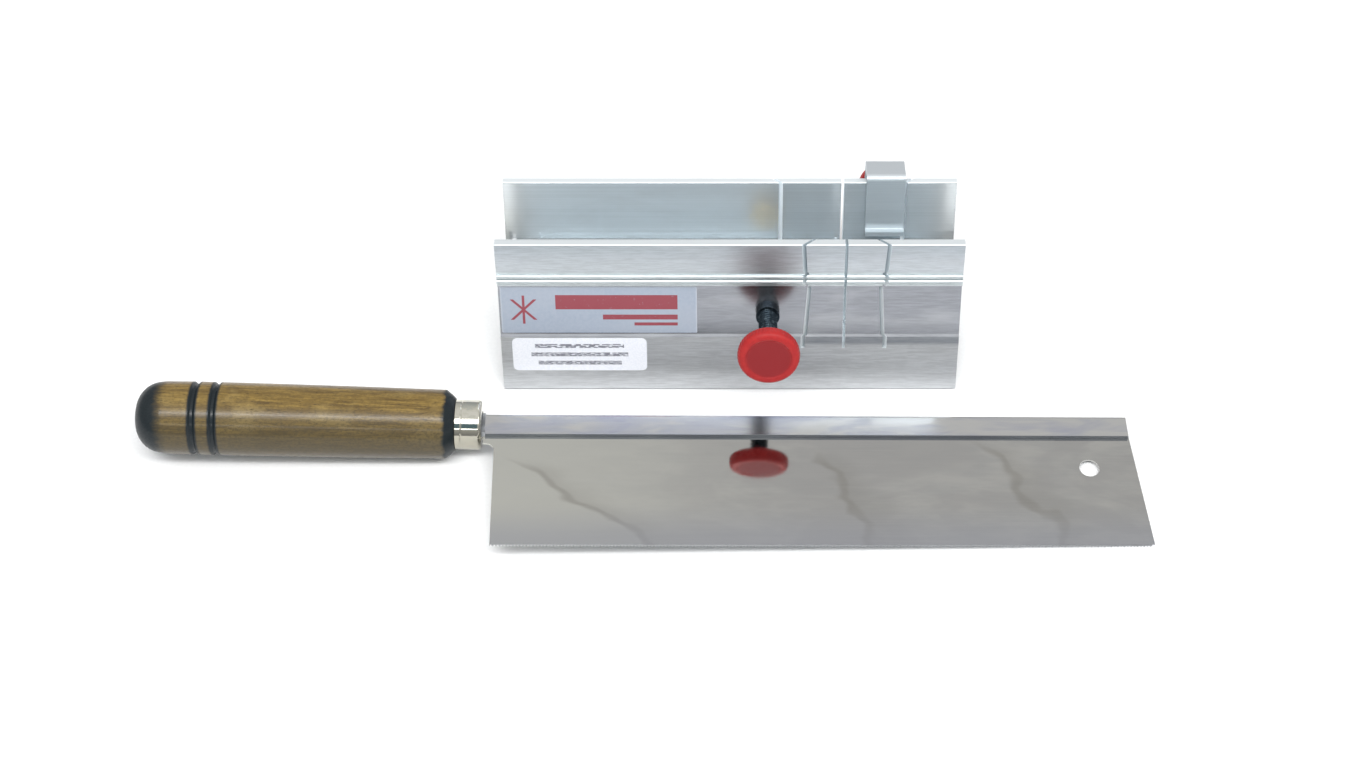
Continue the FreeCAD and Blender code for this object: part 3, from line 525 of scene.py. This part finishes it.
def red_plastic(name):
    """Moulded knob: slightly mottled, with a bright rim and a face darkened by painted shade and made rougher."""
    look = Look(name, Subsurface_Weight=0.05, Subsurface_Scale=0.001, Specular_IOR_Level=0.15)
    look.shader.inputs["Subsurface Radius"].default_value = (1.0, 0.25, 0.15)
    off_axis = look.tree.nodes.new("ShaderNodeVectorMath")
    off_axis.operation = "LENGTH"
    look.put(off_axis.inputs[0], look.stretch(0.0, 1.0, 1.0))
    # painted shade: the flat face is darker than the rim; it is also rougher
    face = look.ramp(off_axis.outputs["Value"], 6.4, 8.2, 1.0, 0.0)
    mottle = look.noise(look.stretch(0.45, 0.45, 0.45), detail=4.0, roughness=0.6)
    fine = look.noise(look.stretch(6.0, 6.0, 6.0), detail=3.0, roughness=0.6)
    colour = look.mix(look.ramp(mottle, 0.3, 0.7), (0.40, 0.026, 0.025), (0.34, 0.021, 0.023))
    colour = look.mix(face, colour, (0.24, 0.019, 0.022))
    colour = look.mix(look.ramp(fine, 0.62, 0.8, 0.0, 0.2), colour, (0.66, 0.12, 0.10))
    rough = look.sum("ADD", look.ramp(mottle, 0.3, 0.7, 0.32, 0.44), look.sum("MULTIPLY", face, 0.06))
    look.bump(fine, 0.08, 0.00006)
    look.bump(mottle, 0.08, 0.0002)
    return look.finish(colour, rough)


def nylon(name, place):
    """Pale nylon, slightly mottled and translucent."""
    look = Look(name, place, Subsurface_Weight=0.2, Subsurface_Scale=0.001)
    grain = look.noise(look.stretch(3.0, 3.0, 3.0), detail=3.0)
    colour = look.mix(look.ramp(grain, 0.3, 0.7), (0.78, 0.76, 0.68), (0.68, 0.66, 0.58))
    look.bump(grain, 0.1, 0.00005)
    return look.finish(colour, look.ramp(grain, 0.3, 0.7, 0.45, 0.6))


# along the handle, from its shoulder
GROOVES = (77.4, 84.0)
GROOVE_HALF = 1.1
FRONT_BURN = 3.2
BUTT_BURN = 95.2


def stained_wood(name):
    """Turned hardwood: fibres and pores along x, stain in clouds, burnt grooves and ends, thin lacquer, and
    painted shade on the underside.
    """
    look = Look(name, Coat_Weight=0.32, Coat_Roughness=0.16, Specular_IOR_Level=0.25)
    along = look.along((1, 0, 0))
    fibres = look.noise(look.stretch(0.09, 1.1, 1.1), detail=5.0, roughness=0.7, distortion=0.7)
    speckle = look.noise(look.stretch(0.9, 1.3, 1.3), detail=4.0, roughness=0.7)
    rings = look.noise(look.stretch(0.012, 0.22, 0.16), detail=2.0, distortion=0.8)
    clouds = look.noise(look.stretch(0.05, 0.09, 0.09), detail=3.0, distortion=0.4)
    pores = look.noise(look.stretch(0.55, 4.2, 4.2), detail=2.0, roughness=0.5)
    flecks = look.noise(look.stretch(0.9, 2.0, 2.0), detail=3.0, roughness=0.75)
    colour = look.mix(look.ramp(fibres, 0.32, 0.68), (0.115, 0.070, 0.017), (0.280, 0.182, 0.044))
    colour = look.mix(look.ramp(rings, 0.45, 0.62, 0.0, 0.6), colour, (0.085, 0.050, 0.015))
    colour = look.mix(look.ramp(clouds, 0.5, 0.72, 0.0, 0.55), colour, (0.31, 0.22, 0.075))
    colour = look.mix(look.ramp(pores, 0.60, 0.70, 0.0, 0.75), colour, (0.034, 0.022, 0.009))
    colour = look.mix(look.ramp(flecks, 0.62, 0.72, 0.0, 0.4), colour, (0.37, 0.28, 0.11))
    # towards the underside: denser dark speckles, and the painted shade below
    under = look.ramp(look.along(UNDERSIDE), -7.0, 9.0)
    spotted = look.sum("MULTIPLY_ADD", under, 0.35, 0.30)
    spots = look.sum("MULTIPLY", look.ramp(speckle, 0.47, 0.60), spotted)
    colour = look.mix(spots, colour, (0.060, 0.042, 0.018))
    # painted shade: darker towards the underside
    colour = look.mix(look.sum("MULTIPLY", under, 0.82), colour, (0.050, 0.040, 0.020))
    ragged = look.sum("MULTIPLY_ADD", look.noise(look.stretch(0.25, 0.5, 0.5), detail=4.0), 3.0, -1.5)
    scorched = look.sum("ADD", along, ragged)
    butt = look.ramp(scorched, BUTT_BURN - 3.0, BUTT_BURN + 2.0)
    front = look.ramp(scorched, FRONT_BURN - 0.5, FRONT_BURN + 1.2, 1.0, 0.0)
    burns = look.sum("MAXIMUM", butt, front)
    tight = look.sum("MULTIPLY_ADD", ragged, 0.15, along)
    for groove in GROOVES:
        burns = look.sum("MAXIMUM", burns, look.band(tight, groove, GROOVE_HALF, 0.9))
    colour = look.mix(burns, colour, (0.004, 0.009, 0.012))
    rough = look.sum("MULTIPLY_ADD", burns, 0.25, look.ramp(pores, 0.4, 0.7, 0.34, 0.55))
    look.bump(look.ramp(pores, 0.60, 0.72, 1.0, 0.0), 0.22, 0.00012)
    look.bump(fibres, 0.10, 0.0001)
    return look.finish(colour, rough)


# middle, level, width and height of each bar, as shares of the sticker's length and height
LABEL_BARS = ((0.59, 0.66, 0.62, 0.30), (0.71, 0.34, 0.38, 0.10), (0.79, 0.19, 0.22, 0.06))
SIGN_AT = 7.5            # where the strokes cross, from the sticker's left end
SIGN_REACH = 0.30        # from there to the upright stroke's end, as a share of the sticker's height
SLANT_REACH = 0.72       # how far up and down the slanting strokes go, as a share of the upright one
STROKE_HALF = 0.35
INK_EDGE = 0.12          # softness of a printed edge


def foil_label(name, place, length, height):
    """Silver foil sticker with a plain red mark: three crossed strokes and three bars."""
    look = Look(name, place, Metallic=0.35, Coat_Weight=0.3, Coat_Roughness=0.2)
    across, up = look.along((1, 0, 0)), look.along((0, 0, 1))
    grain = look.noise(look.stretch(0.9, 0.9, 0.9), detail=5.0, roughness=0.7)
    sheen = look.noise(look.stretch(0.02, 0.05, 0.05), detail=2.0)
    colour = look.mix(look.ramp(grain, 0.3, 0.7), (0.345, 0.40, 0.49), (0.40, 0.445, 0.525))
    colour = look.mix(look.ramp(sheen, 0.4, 0.65, 0.0, 0.4), colour, (0.43, 0.465, 0.53))

    ink = None
    for middle, level, wide, high in LABEL_BARS:
        bar = look.sum("MULTIPLY", look.band(across, length * middle, length * wide / 2, INK_EDGE),
                       look.band(up, height * level, height * high / 2, INK_EDGE))
        ink = bar if ink is None else look.sum("MAXIMUM", ink, bar)
    sign = height * SIGN_REACH
    for turn in (-45, 0, 45):
        lean = math.radians(turn)
        way = (math.cos(lean), 0.0, -math.sin(lean))
        shift = -(SIGN_AT * math.cos(lean) - height * 0.5 * math.sin(lean))
        stroke = look.band(look.along(way, shift), 0.0, STROKE_HALF, 0.15)
        reach = look.band(up, height * 0.5, sign * (1.0 if turn == 0 else SLANT_REACH), 0.15)
        near = look.band(across, SIGN_AT, sign * 0.8, 0.15)
        ink = look.sum("MAXIMUM", ink, look.sum("MULTIPLY", look.sum("MULTIPLY", stroke, reach), near))
    worn = look.ramp(grain, 0.60, 0.75, 0.92, 0.55)
    colour = look.mix(look.sum("MULTIPLY", ink, worn), colour, (0.30, 0.025, 0.04))
    rim = look.sum("MAXIMUM", look.band(across, 0.0, 0.35, 0.2), look.band(across, length, 0.35, 0.2))
    rim = look.sum("MAXIMUM", rim, look.band(up, height, 0.35, 0.2))
    colour = look.mix(look.sum("MULTIPLY", rim, 0.25), colour, (0.70, 0.72, 0.75))
    look.bump(grain, 0.05, 0.00004)
    return look.finish(colour, look.ramp(grain, 0.3, 0.7, 0.36, 0.5))


ROW_HALVES = (0.33, 0.36, 0.31)      # half the width of each row, as a share of the sticker's length
TOP_ROW, ROW_STEP = 0.76, 0.26       # first row's level and the step to the next, as shares of its height
ROW_RISE = 0.055                     # half a row's own height, as such a share


def paper_label(name, place, length, height):
    """White paper sticker with three rows of grey dashes in place of small print."""
    look = Look(name, place, Coat_Weight=0.2, Coat_Roughness=0.3)
    across, up = look.along((1, 0, 0)), look.along((0, 0, 1))
    grain = look.noise(look.stretch(2.0, 2.0, 2.0), detail=4.0)
    colour = look.mix(look.ramp(grain, 0.3, 0.7), (0.80, 0.81, 0.85), (0.72, 0.74, 0.80))
    ink = None
    for row, half in enumerate(ROW_HALVES):
        level = height * (TOP_ROW - ROW_STEP * row)
        line = look.sum("MULTIPLY", look.band(up, level, height * ROW_RISE, INK_EDGE),
                        look.band(across, length / 2, length * half, INK_EDGE))
        gaps = look.noise(look.stretch(0.62, 0.0, 3.1 * (row + 1)), detail=0.0)
        line = look.sum("MULTIPLY", line, look.ramp(gaps, 0.40, 0.43))
        ink = line if ink is None else look.sum("MAXIMUM", ink, line)
    colour = look.mix(look.sum("MULTIPLY", ink, 0.85), colour, (0.09, 0.09, 0.12))
    look.bump(grain, 0.06, 0.00004)
    return look.finish(colour, look.ramp(grain, 0.3, 0.7, 0.42, 0.55))


# ---- the CAD nodes that stay, each with its own finish ----

def paint(node, look):
    """Give a CAD node its material."""
    thing = frame["nodes"][node]
    thing.data.materials.clear()
    thing.data.materials.append(look)


def label_frame(node):
    """A label's own frame, from the lower left corner of its face, and its length and height."""
    low, high = extent(node, BOX)
    corner = BOX @ Vector((low.x, 0, low.z))
    return frame_of(corner, WORLD_X, BOX_UP), high.x - low.x, high.z - low.z


# ---- the pieces that replace CAD nodes ----

KNOB_FLUTES = 52
FLUTE_POINTS = 6         # points round each flute
FLUTE_DEPTH = 0.13
FLUTE_FADE = 0.5         # the flutes end this far below the widest radius
BOSS_RADIUS = 4.4
BOSS_LENGTH = 1.6
DISH_INSET = 2.55        # from the knob's edge to the dish in its face
DISH_SLOPE = 0.4
DISH_DEPTH = 0.28


def make_knob(name, node, place, body, look):
    """Round knob: rear boss, fluted edge with soft shoulders, and a flat face with a shallow dish."""
    low, high = extent(node, place)
    radius = high.y
    boss, dish = low.x + BOSS_LENGTH, radius - DISH_INSET
    outline = rounded([
        (low.x, 0, 0),
        (low.x, BOSS_RADIUS, 0.4),
        (boss, BOSS_RADIUS, 0.35),
        (boss, radius, 1.35),
        (high.x, radius, 1.9),
        (high.x, dish, 0.3),
        (high.x - DISH_DEPTH, dish - DISH_SLOPE, 0.3),
        (high.x - DISH_DEPTH, 0, 0),
    ])

    def flute(x, reach, angle):
        """Shallow grip flutes, only where the edge is widest."""
        share = max(0.0, 1.0 - (radius - reach) / FLUTE_FADE)
        return -FLUTE_DEPTH * share * (0.5 + 0.5 * math.cos(KNOB_FLUTES * angle))

    mesh = lathe(name, outline, segments=KNOB_FLUTES * FLUTE_POINTS, wobble=flute)
    return finish_piece(name, mesh, place, body, node, look, smooth_angle=50)


CLAMP_PITCH = 1.27
STOP_PITCH = 0.794
CLAMP_NOSE = ((0.0, 0.0), (0.0, 2.3), (1.5, 2.3), (1.5, 1.5), (2.55, 1.5))
STOP_NOSE = ((0.0, 0.0), (0.0, 1.0), (1.15, 1.0))
IN_KNOB = 3.6            # how much of a screw's plain end is inside its knob


def make_screw(node, place, nose, tail_radius, pitch, look):
    """Thumb screw: a plain nose of (x, radius) points, a full thread, and a plain end inside the knob."""
    low, high = extent(node, place)
    front = [(low.x + x, radius) for x, radius in nose]
    tail = [(high.x, tail_radius), (high.x, 0.0)]
    name = f"{node}_thread"
    mesh = screw_mesh(name, front, front[-1][0], high.x - IN_KNOB, high.y, pitch, tail)
    return finish_piece(name, mesh, place, node, node, look)


FERRULE_WALL = 0.8
FERRULE_MOUTH = 4.6      # radius of the hole in its front, which the tang goes through
CRIMP_AT = 2.1           # from its rear edge
CRIMP_HALF = 0.3
CRIMP_DEPTH = 0.16


def make_ferrule(look):
    """Drawn ferrule: rounded front, straight side with a light crimp line, thin rear edge."""
    low, high = extent("ferrule", HANDLE)
    radius, hollow = high.y, high.y - FERRULE_WALL
    inside, crimp = low.x + FERRULE_WALL, high.x - CRIMP_AT
    outline = rounded([
        (inside, FERRULE_MOUTH, 0),
        (low.x, FERRULE_MOUTH, 0.15),
        (low.x, radius, 1.3),
        (crimp - CRIMP_HALF, radius, 0.4),
        (crimp, radius - CRIMP_DEPTH, 0.3),
        (crimp + CRIMP_HALF, radius, 0.4),
        (high.x, radius, 0.2),
        (high.x, hollow, 0.1),
        (inside, hollow, 0.4),
        (inside, FERRULE_MOUTH, 0),
    ])
    mesh = lathe("ferrule_shell", outline)
    return finish_piece("ferrule_shell", mesh, HANDLE, "saw", "ferrule", look)


NOSE = 7.3               # radius of the handle's nose, inside the ferrule
GROOVE_FLAT = 0.4
GROOVE_DEPTH = 0.7
GRIP_WEAR = 0.02         # the grip stays this far inside the CAD handle
OUT_OF_ROUND = 0.03


def make_handle(look):
    """Turned handle: nose in the ferrule, burnt shoulder, swelling grip, two grooves and a round butt."""
    low, high = extent("handle", HANDLE)
    length, grip = high.x, high.y - GRIP_WEAR
    root = high.y - GROOVE_DEPTH
    corners = [(low.x, 0, 0), (low.x, NOSE, 0.3), (0.05, NOSE, 0.1), (0.05, 8.6, 0.3), (1.1, 9.6, 0.8),
               (3.2, 11.3, 0.9), (34.0, 11.75, 12.0), (68.0, grip, 12.0)]
    for groove in GROOVES:
        corners += [(groove - GROOVE_HALF, grip, 0.35), (groove - GROOVE_FLAT, root, 0.35),
                    (groove + GROOVE_FLAT, root, 0.35), (groove + GROOVE_HALF, grip, 0.35)]
    corners += [(94.0, 11.85, 5.0), (length, 10.6, 8.6), (length, 0, 0)]
    outline = rounded(corners, steps=8)

    def uneven(x, radius, angle):
        """Hand-turned and worn: a few hundredths of a millimetre out of round."""
        return -OUT_OF_ROUND - OUT_OF_ROUND * math.sin(2 * angle + x * 0.05) if x > 4.0 else 0.0

    mesh = lathe("handle_turned", outline, segments=128, wobble=uneven)
    return finish_piece("handle_turned", mesh, HANDLE, "saw", "handle", look)


HANG_RADIUS = MOUNTS["hang_hole"]["dims"]["r_mm"]
HANG_HOLE = SAW.inverted() @ Vector(MOUNTS["hang_hole"]["pos_m"])
HANG_STEPS = 48
HEEL = 3.0               # where the teeth begin, under the notch that the blade has below its spine
NOTCH = -11.3            # level of that notch's edge
HEEL_ROUND = 2.8
HEEL_STEPS = 8
HEEL_LAND = 0.3          # flat between the heel's corner and the last gullet
SPINE_GAP = 0.1          # the plate ends this far inside the spine's ends
TOOTH_PITCH = 1.06
TOOTH_DEPTH = 0.7
TOOTH_SET = 0.14


def make_blade(look):
    """Saw plate with a hanging hole and teeth that are set to alternate sides."""
    low, high = extent("saw_blade", SAW)
    half = (high.z - low.z) / 2
    fold, edge = high.y, -SPINE_WIDTH
    spine_toe = SPINE_HIGH.x - SPINE_LOW.x
    outline = [(spine_toe - SPINE_GAP, fold), (high.x, low.y + TOOTH_DEPTH)]
    count = int((high.x - HEEL) / TOOTH_PITCH) - 1
    tips = []
    for tooth in range(count, 0, -1):
        tip = HEEL + tooth * TOOTH_PITCH
        tips.append(len(outline) + 1)
        outline += [(tip + TOOTH_PITCH * 0.5, low.y + TOOTH_DEPTH), (tip, low.y)]
    outline += [(HEEL + HEEL_LAND, low.y + TOOTH_DEPTH), (HEEL, low.y)]
    for step in range(HEEL_STEPS + 1):
        angle = math.pi / 2 * step / HEEL_STEPS
        outline.append((HEEL - HEEL_ROUND + HEEL_ROUND * math.cos(angle),
                        NOTCH - HEEL_ROUND + HEEL_ROUND * math.sin(angle)))
    outline += [(low.x, NOTCH), (low.x, edge), (SPINE_GAP, edge), (SPINE_GAP, fold)]

    ring = []
    for step in range(HANG_STEPS):
        angle = math.tau * step / HANG_STEPS
        across, rise = HANG_RADIUS * math.cos(angle), HANG_RADIUS * math.sin(angle)
        ring.append((HANG_HOLE.x + across, HANG_HOLE.y + rise))
    mesh = bpy.data.meshes.new("blade_plate")
    bm = bmesh.new()
    loops = []
    for points in (outline, ring):
        verts = [bm.verts.new((x, y, half)) for x, y in points]
        loops.append(verts)
        for first, second in zip(verts, verts[1:] + verts[:1]):
            bm.edges.new((first, second))
    filled = bmesh.ops.triangle_fill(bm, use_beauty=True, use_dissolve=False,
                                     edges=bm.edges[:], normal=(0, 0, 1))
    faces = [piece for piece in filled["geom"] if isinstance(piece, bmesh.types.BMFace)]
    back = bmesh.ops.duplicate(bm, geom=faces + [v for loop in loops for v in loop] + bm.edges[:])
    twin = {front: other for front, other in back["vert_map"].items() if front in set(sum(loops, []))}
    for other in twin.values():
        other.co.z = -half
    for loop in loops:
        for first, second in zip(loop, loop[1:] + loop[:1]):
            bm.faces.new((first, second, twin[second], twin[first]))
    for order, place in enumerate(tips):
        side = TOOTH_SET if order % 2 else -TOOTH_SET
        for vertex in (loops[0][place], twin[loops[0][place]]):
            vertex.co.z += side
    bmesh.ops.recalc_face_normals(bm, faces=bm.faces)
    bm.to_mesh(mesh)
    bm.free()
    return finish_piece("blade_plate", mesh, SAW, "saw", "saw_blade", look, smooth_angle=25)


ZINC = ((0.62, 0.64, 0.66), (0.45, 0.46, 0.48))


def make_everything():
    """Materials for the CAD nodes that stay, and the pieces that stand for the others."""
    paint("miter_box", box_aluminium("box_aluminium", BOX))
    paint("stop_clip", strip_aluminium("clip_aluminium", BOX))
    panel, length, height = label_frame("panel_label")
    paint("panel_label", foil_label("foil_label", panel, length, height))
    apron, length, height = label_frame("apron_label")
    paint("apron_label", paper_label("paper_label", apron, length, height))
    paint("clamp_bushing", black_oxide("black_bushing", CLAMP))
    paint("swivel_pad", cad_metal("brass", CLAMP, (0.72, 0.50, 0.20), (0.50, 0.32, 0.13), 0.2))
    paint("retaining_washer", cad_metal("zinc_washer", CLAMP, *ZINC, 0.28))
    paint("press_nut", cad_metal("zinc_nut", STOP, *ZINC, 0.28))
    paint("tang", cad_metal("tang_steel", HANDLE, (0.50, 0.52, 0.55), (0.30, 0.31, 0.33), 0.26))
    paint("stop_tip", nylon("nylon", STOP))
    paint("saw_spine", spine_steel("spine_steel", SAW))

    red = red_plastic("red_plastic")
    black = black_oxide("black_screw")
    make_knob("clamp_knob_moulding", "clamp_knob", CLAMP, "clamp_screw", red)
    make_knob("stop_knob_moulding", "stop_knob", STOP, "stop_screw", red)
    make_screw("clamp_screw", CLAMP, CLAMP_NOSE, 1.5, CLAMP_PITCH, black)
    make_screw("stop_screw", STOP, STOP_NOSE, 1.2, STOP_PITCH, black)
    make_ferrule(turned_metal("nickel", (0.74, 0.72, 0.63), (0.62, 0.60, 0.50), 0.07, (0.56, 0.63, 0.64)))
    make_handle(stained_wood("handle_wood"))
    make_blade(blade_steel("blade_steel"))


# ---- floor, light and camera ----

FLOOR_HALF = 3.0


def make_stage():
    """Pale floor with a painted pool of light: whitest under the object, greyer further out."""
    mesh = bpy.data.meshes.new("floor")
    corners = [(-FLOOR_HALF, -FLOOR_HALF, 0), (FLOOR_HALF, -FLOOR_HALF, 0),
               (FLOOR_HALF, FLOOR_HALF, 0), (-FLOOR_HALF, FLOOR_HALF, 0)]
    mesh.from_pydata(corners, [], [(0, 1, 2, 3)])
    floor = bpy.data.objects.new("floor", mesh)
    bpy.context.scene.collection.objects.link(floor)
    look = Look("floor_paper", Roughness=0.75)
    spread = look.tree.nodes.new("ShaderNodeVectorMath")
    spread.operation = "LENGTH"
    look.put(spread.inputs[0], look.at)
    grain = look.noise(look.stretch(900.0, 900.0, 900.0), detail=2.0)
    pale = look.mix(look.ramp(grain, 0.3, 0.7), (0.94, 0.94, 0.94), (0.97, 0.97, 0.97))
    # painted pool of light: the floor fades to grey away from the middle
    colour = look.mix(look.ramp(spread.outputs["Value"], 0.28, 0.75), pale, (0.42, 0.42, 0.43))
    mesh.materials.append(look.finish(colour))


DIM_ELEVATION = 50.0
DIM_REACH = (0.30, 0.46)     # where the dim patch starts to fade and where it ends
DIM_COLOUR = (0.13, 0.22, 0.27, 1)


def make_world():
    """Soft grey room: darker at the horizon, paler overhead, with a dim patch high up in front."""
    world = bpy.data.worlds.new("studio")
    bpy.context.scene.world = world
    world.use_nodes = True
    tree = world.node_tree
    backdrop = tree.nodes["Background"]
    spot = tree.nodes.new("ShaderNodeTexCoord")
    parts = tree.nodes.new("ShaderNodeSeparateXYZ")
    tree.links.new(spot.outputs["Generated"], parts.inputs[0])
    ramp = tree.nodes.new("ShaderNodeValToRGB")
    tree.links.new(parts.outputs["Z"], ramp.inputs["Fac"])
    stops = ramp.color_ramp.elements
    stops[0].position, stops[0].color = 0.0, (0.36, 0.37, 0.39, 1)
    stops[1].position, stops[1].color = 1.0, (0.80, 0.80, 0.81, 1)
    middle = stops.new(0.65)
    middle.color = (0.66, 0.66, 0.65, 1)

    facing = tree.nodes.new("ShaderNodeVectorMath")
    facing.operation = "DISTANCE"
    rise = math.radians(DIM_ELEVATION)
    facing.inputs[1].default_value = (0.0, -math.cos(rise), math.sin(rise))
    tree.links.new(spot.outputs["Generated"], facing.inputs[0])
    edge = tree.nodes.new("ShaderNodeMapRange")
    edge.interpolation_type = "SMOOTHSTEP"
    for socket, amount in zip(edge.inputs[1:5], (*DIM_REACH, 1.0, 0.0)):
        socket.default_value = amount
    tree.links.new(facing.outputs["Value"], edge.inputs[0])
    mix = tree.nodes.new("ShaderNodeMix")
    mix.data_type = "RGBA"
    colours = [socket for socket in mix.inputs if socket.type == "RGBA"]
    tree.links.new(edge.outputs[0], mix.inputs["Factor"])
    tree.links.new(ramp.outputs["Color"], colours[0])
    colours[1].default_value = DIM_COLOUR
    mixed = next(socket for socket in mix.outputs if socket.type == "RGBA")
    tree.links.new(mixed, backdrop.inputs["Color"])
    backdrop.inputs["Strength"].default_value = 1.0


def make_light(name, azimuth, elevation, distance, long, wide, power):
    """Soft box that looks at the object; azimuth 0 is the front, and turns towards +X."""
    data = bpy.data.lights.new(name, "AREA")
    data.shape = "RECTANGLE"
    data.size, data.size_y = long, wide
    data.energy = power
    light = bpy.data.objects.new(name, data)
    bpy.context.scene.collection.objects.link(light)
    turn, rise = math.radians(azimuth), math.radians(elevation)
    way = Vector((math.sin(turn) * math.cos(rise), -math.cos(turn) * math.cos(rise), math.sin(rise)))
    light.location = way * distance
    light.rotation_mode = "QUATERNION"
    light.rotation_quaternion = way.to_track_quat("Z", "Y")


# name, azimuth, elevation, distance, length, width and power of each soft box
LIGHTS = (("high_strip", 0, 66, 0.95, 1.1, 0.10, 4.0),
          ("low_strip", 0, 31, 0.95, 0.9, 0.05, 0.9),
          ("overhead", 0, 66, 1.0, 1.1, 0.36, 5.0),
          ("right_box", 75, 42, 0.9, 0.45, 0.45, 1.1))
TARGET_DEPTH = 0.3       # how far behind the box's foremost face the camera looks, in millimetres
CAMERA_ELEVATION = 51.051
CAMERA_DISTANCE = 0.75074
CAMERA_LENS = 58.63
CAMERA_SHIFT = (-0.0358, 0.0054)


def make_camera():
    """Camera that looks down at the set from the front."""
    target = BOX @ Vector((0.0, TARGET_DEPTH, 0.0))
    target.z = 0.0
    rise, distance = math.radians(CAMERA_ELEVATION), CAMERA_DISTANCE
    data = bpy.data.cameras.new("camera")
    data.sensor_width = 36.0
    data.lens = CAMERA_LENS
    data.shift_x, data.shift_y = CAMERA_SHIFT
    data.clip_start = 0.01
    camera = bpy.data.objects.new("camera", data)
    bpy.context.scene.collection.objects.link(camera)
    camera.location = target + Vector((0, -math.cos(rise), math.sin(rise))) * distance
    camera.rotation_euler = (math.pi / 2 - rise, 0, 0)
    bpy.context.scene.camera = camera


make_everything()
make_stage()
make_world()
for light in LIGHTS:
    make_light(*light)
make_camera()
bpy.context.scene.view_settings.view_transform = "Standard"
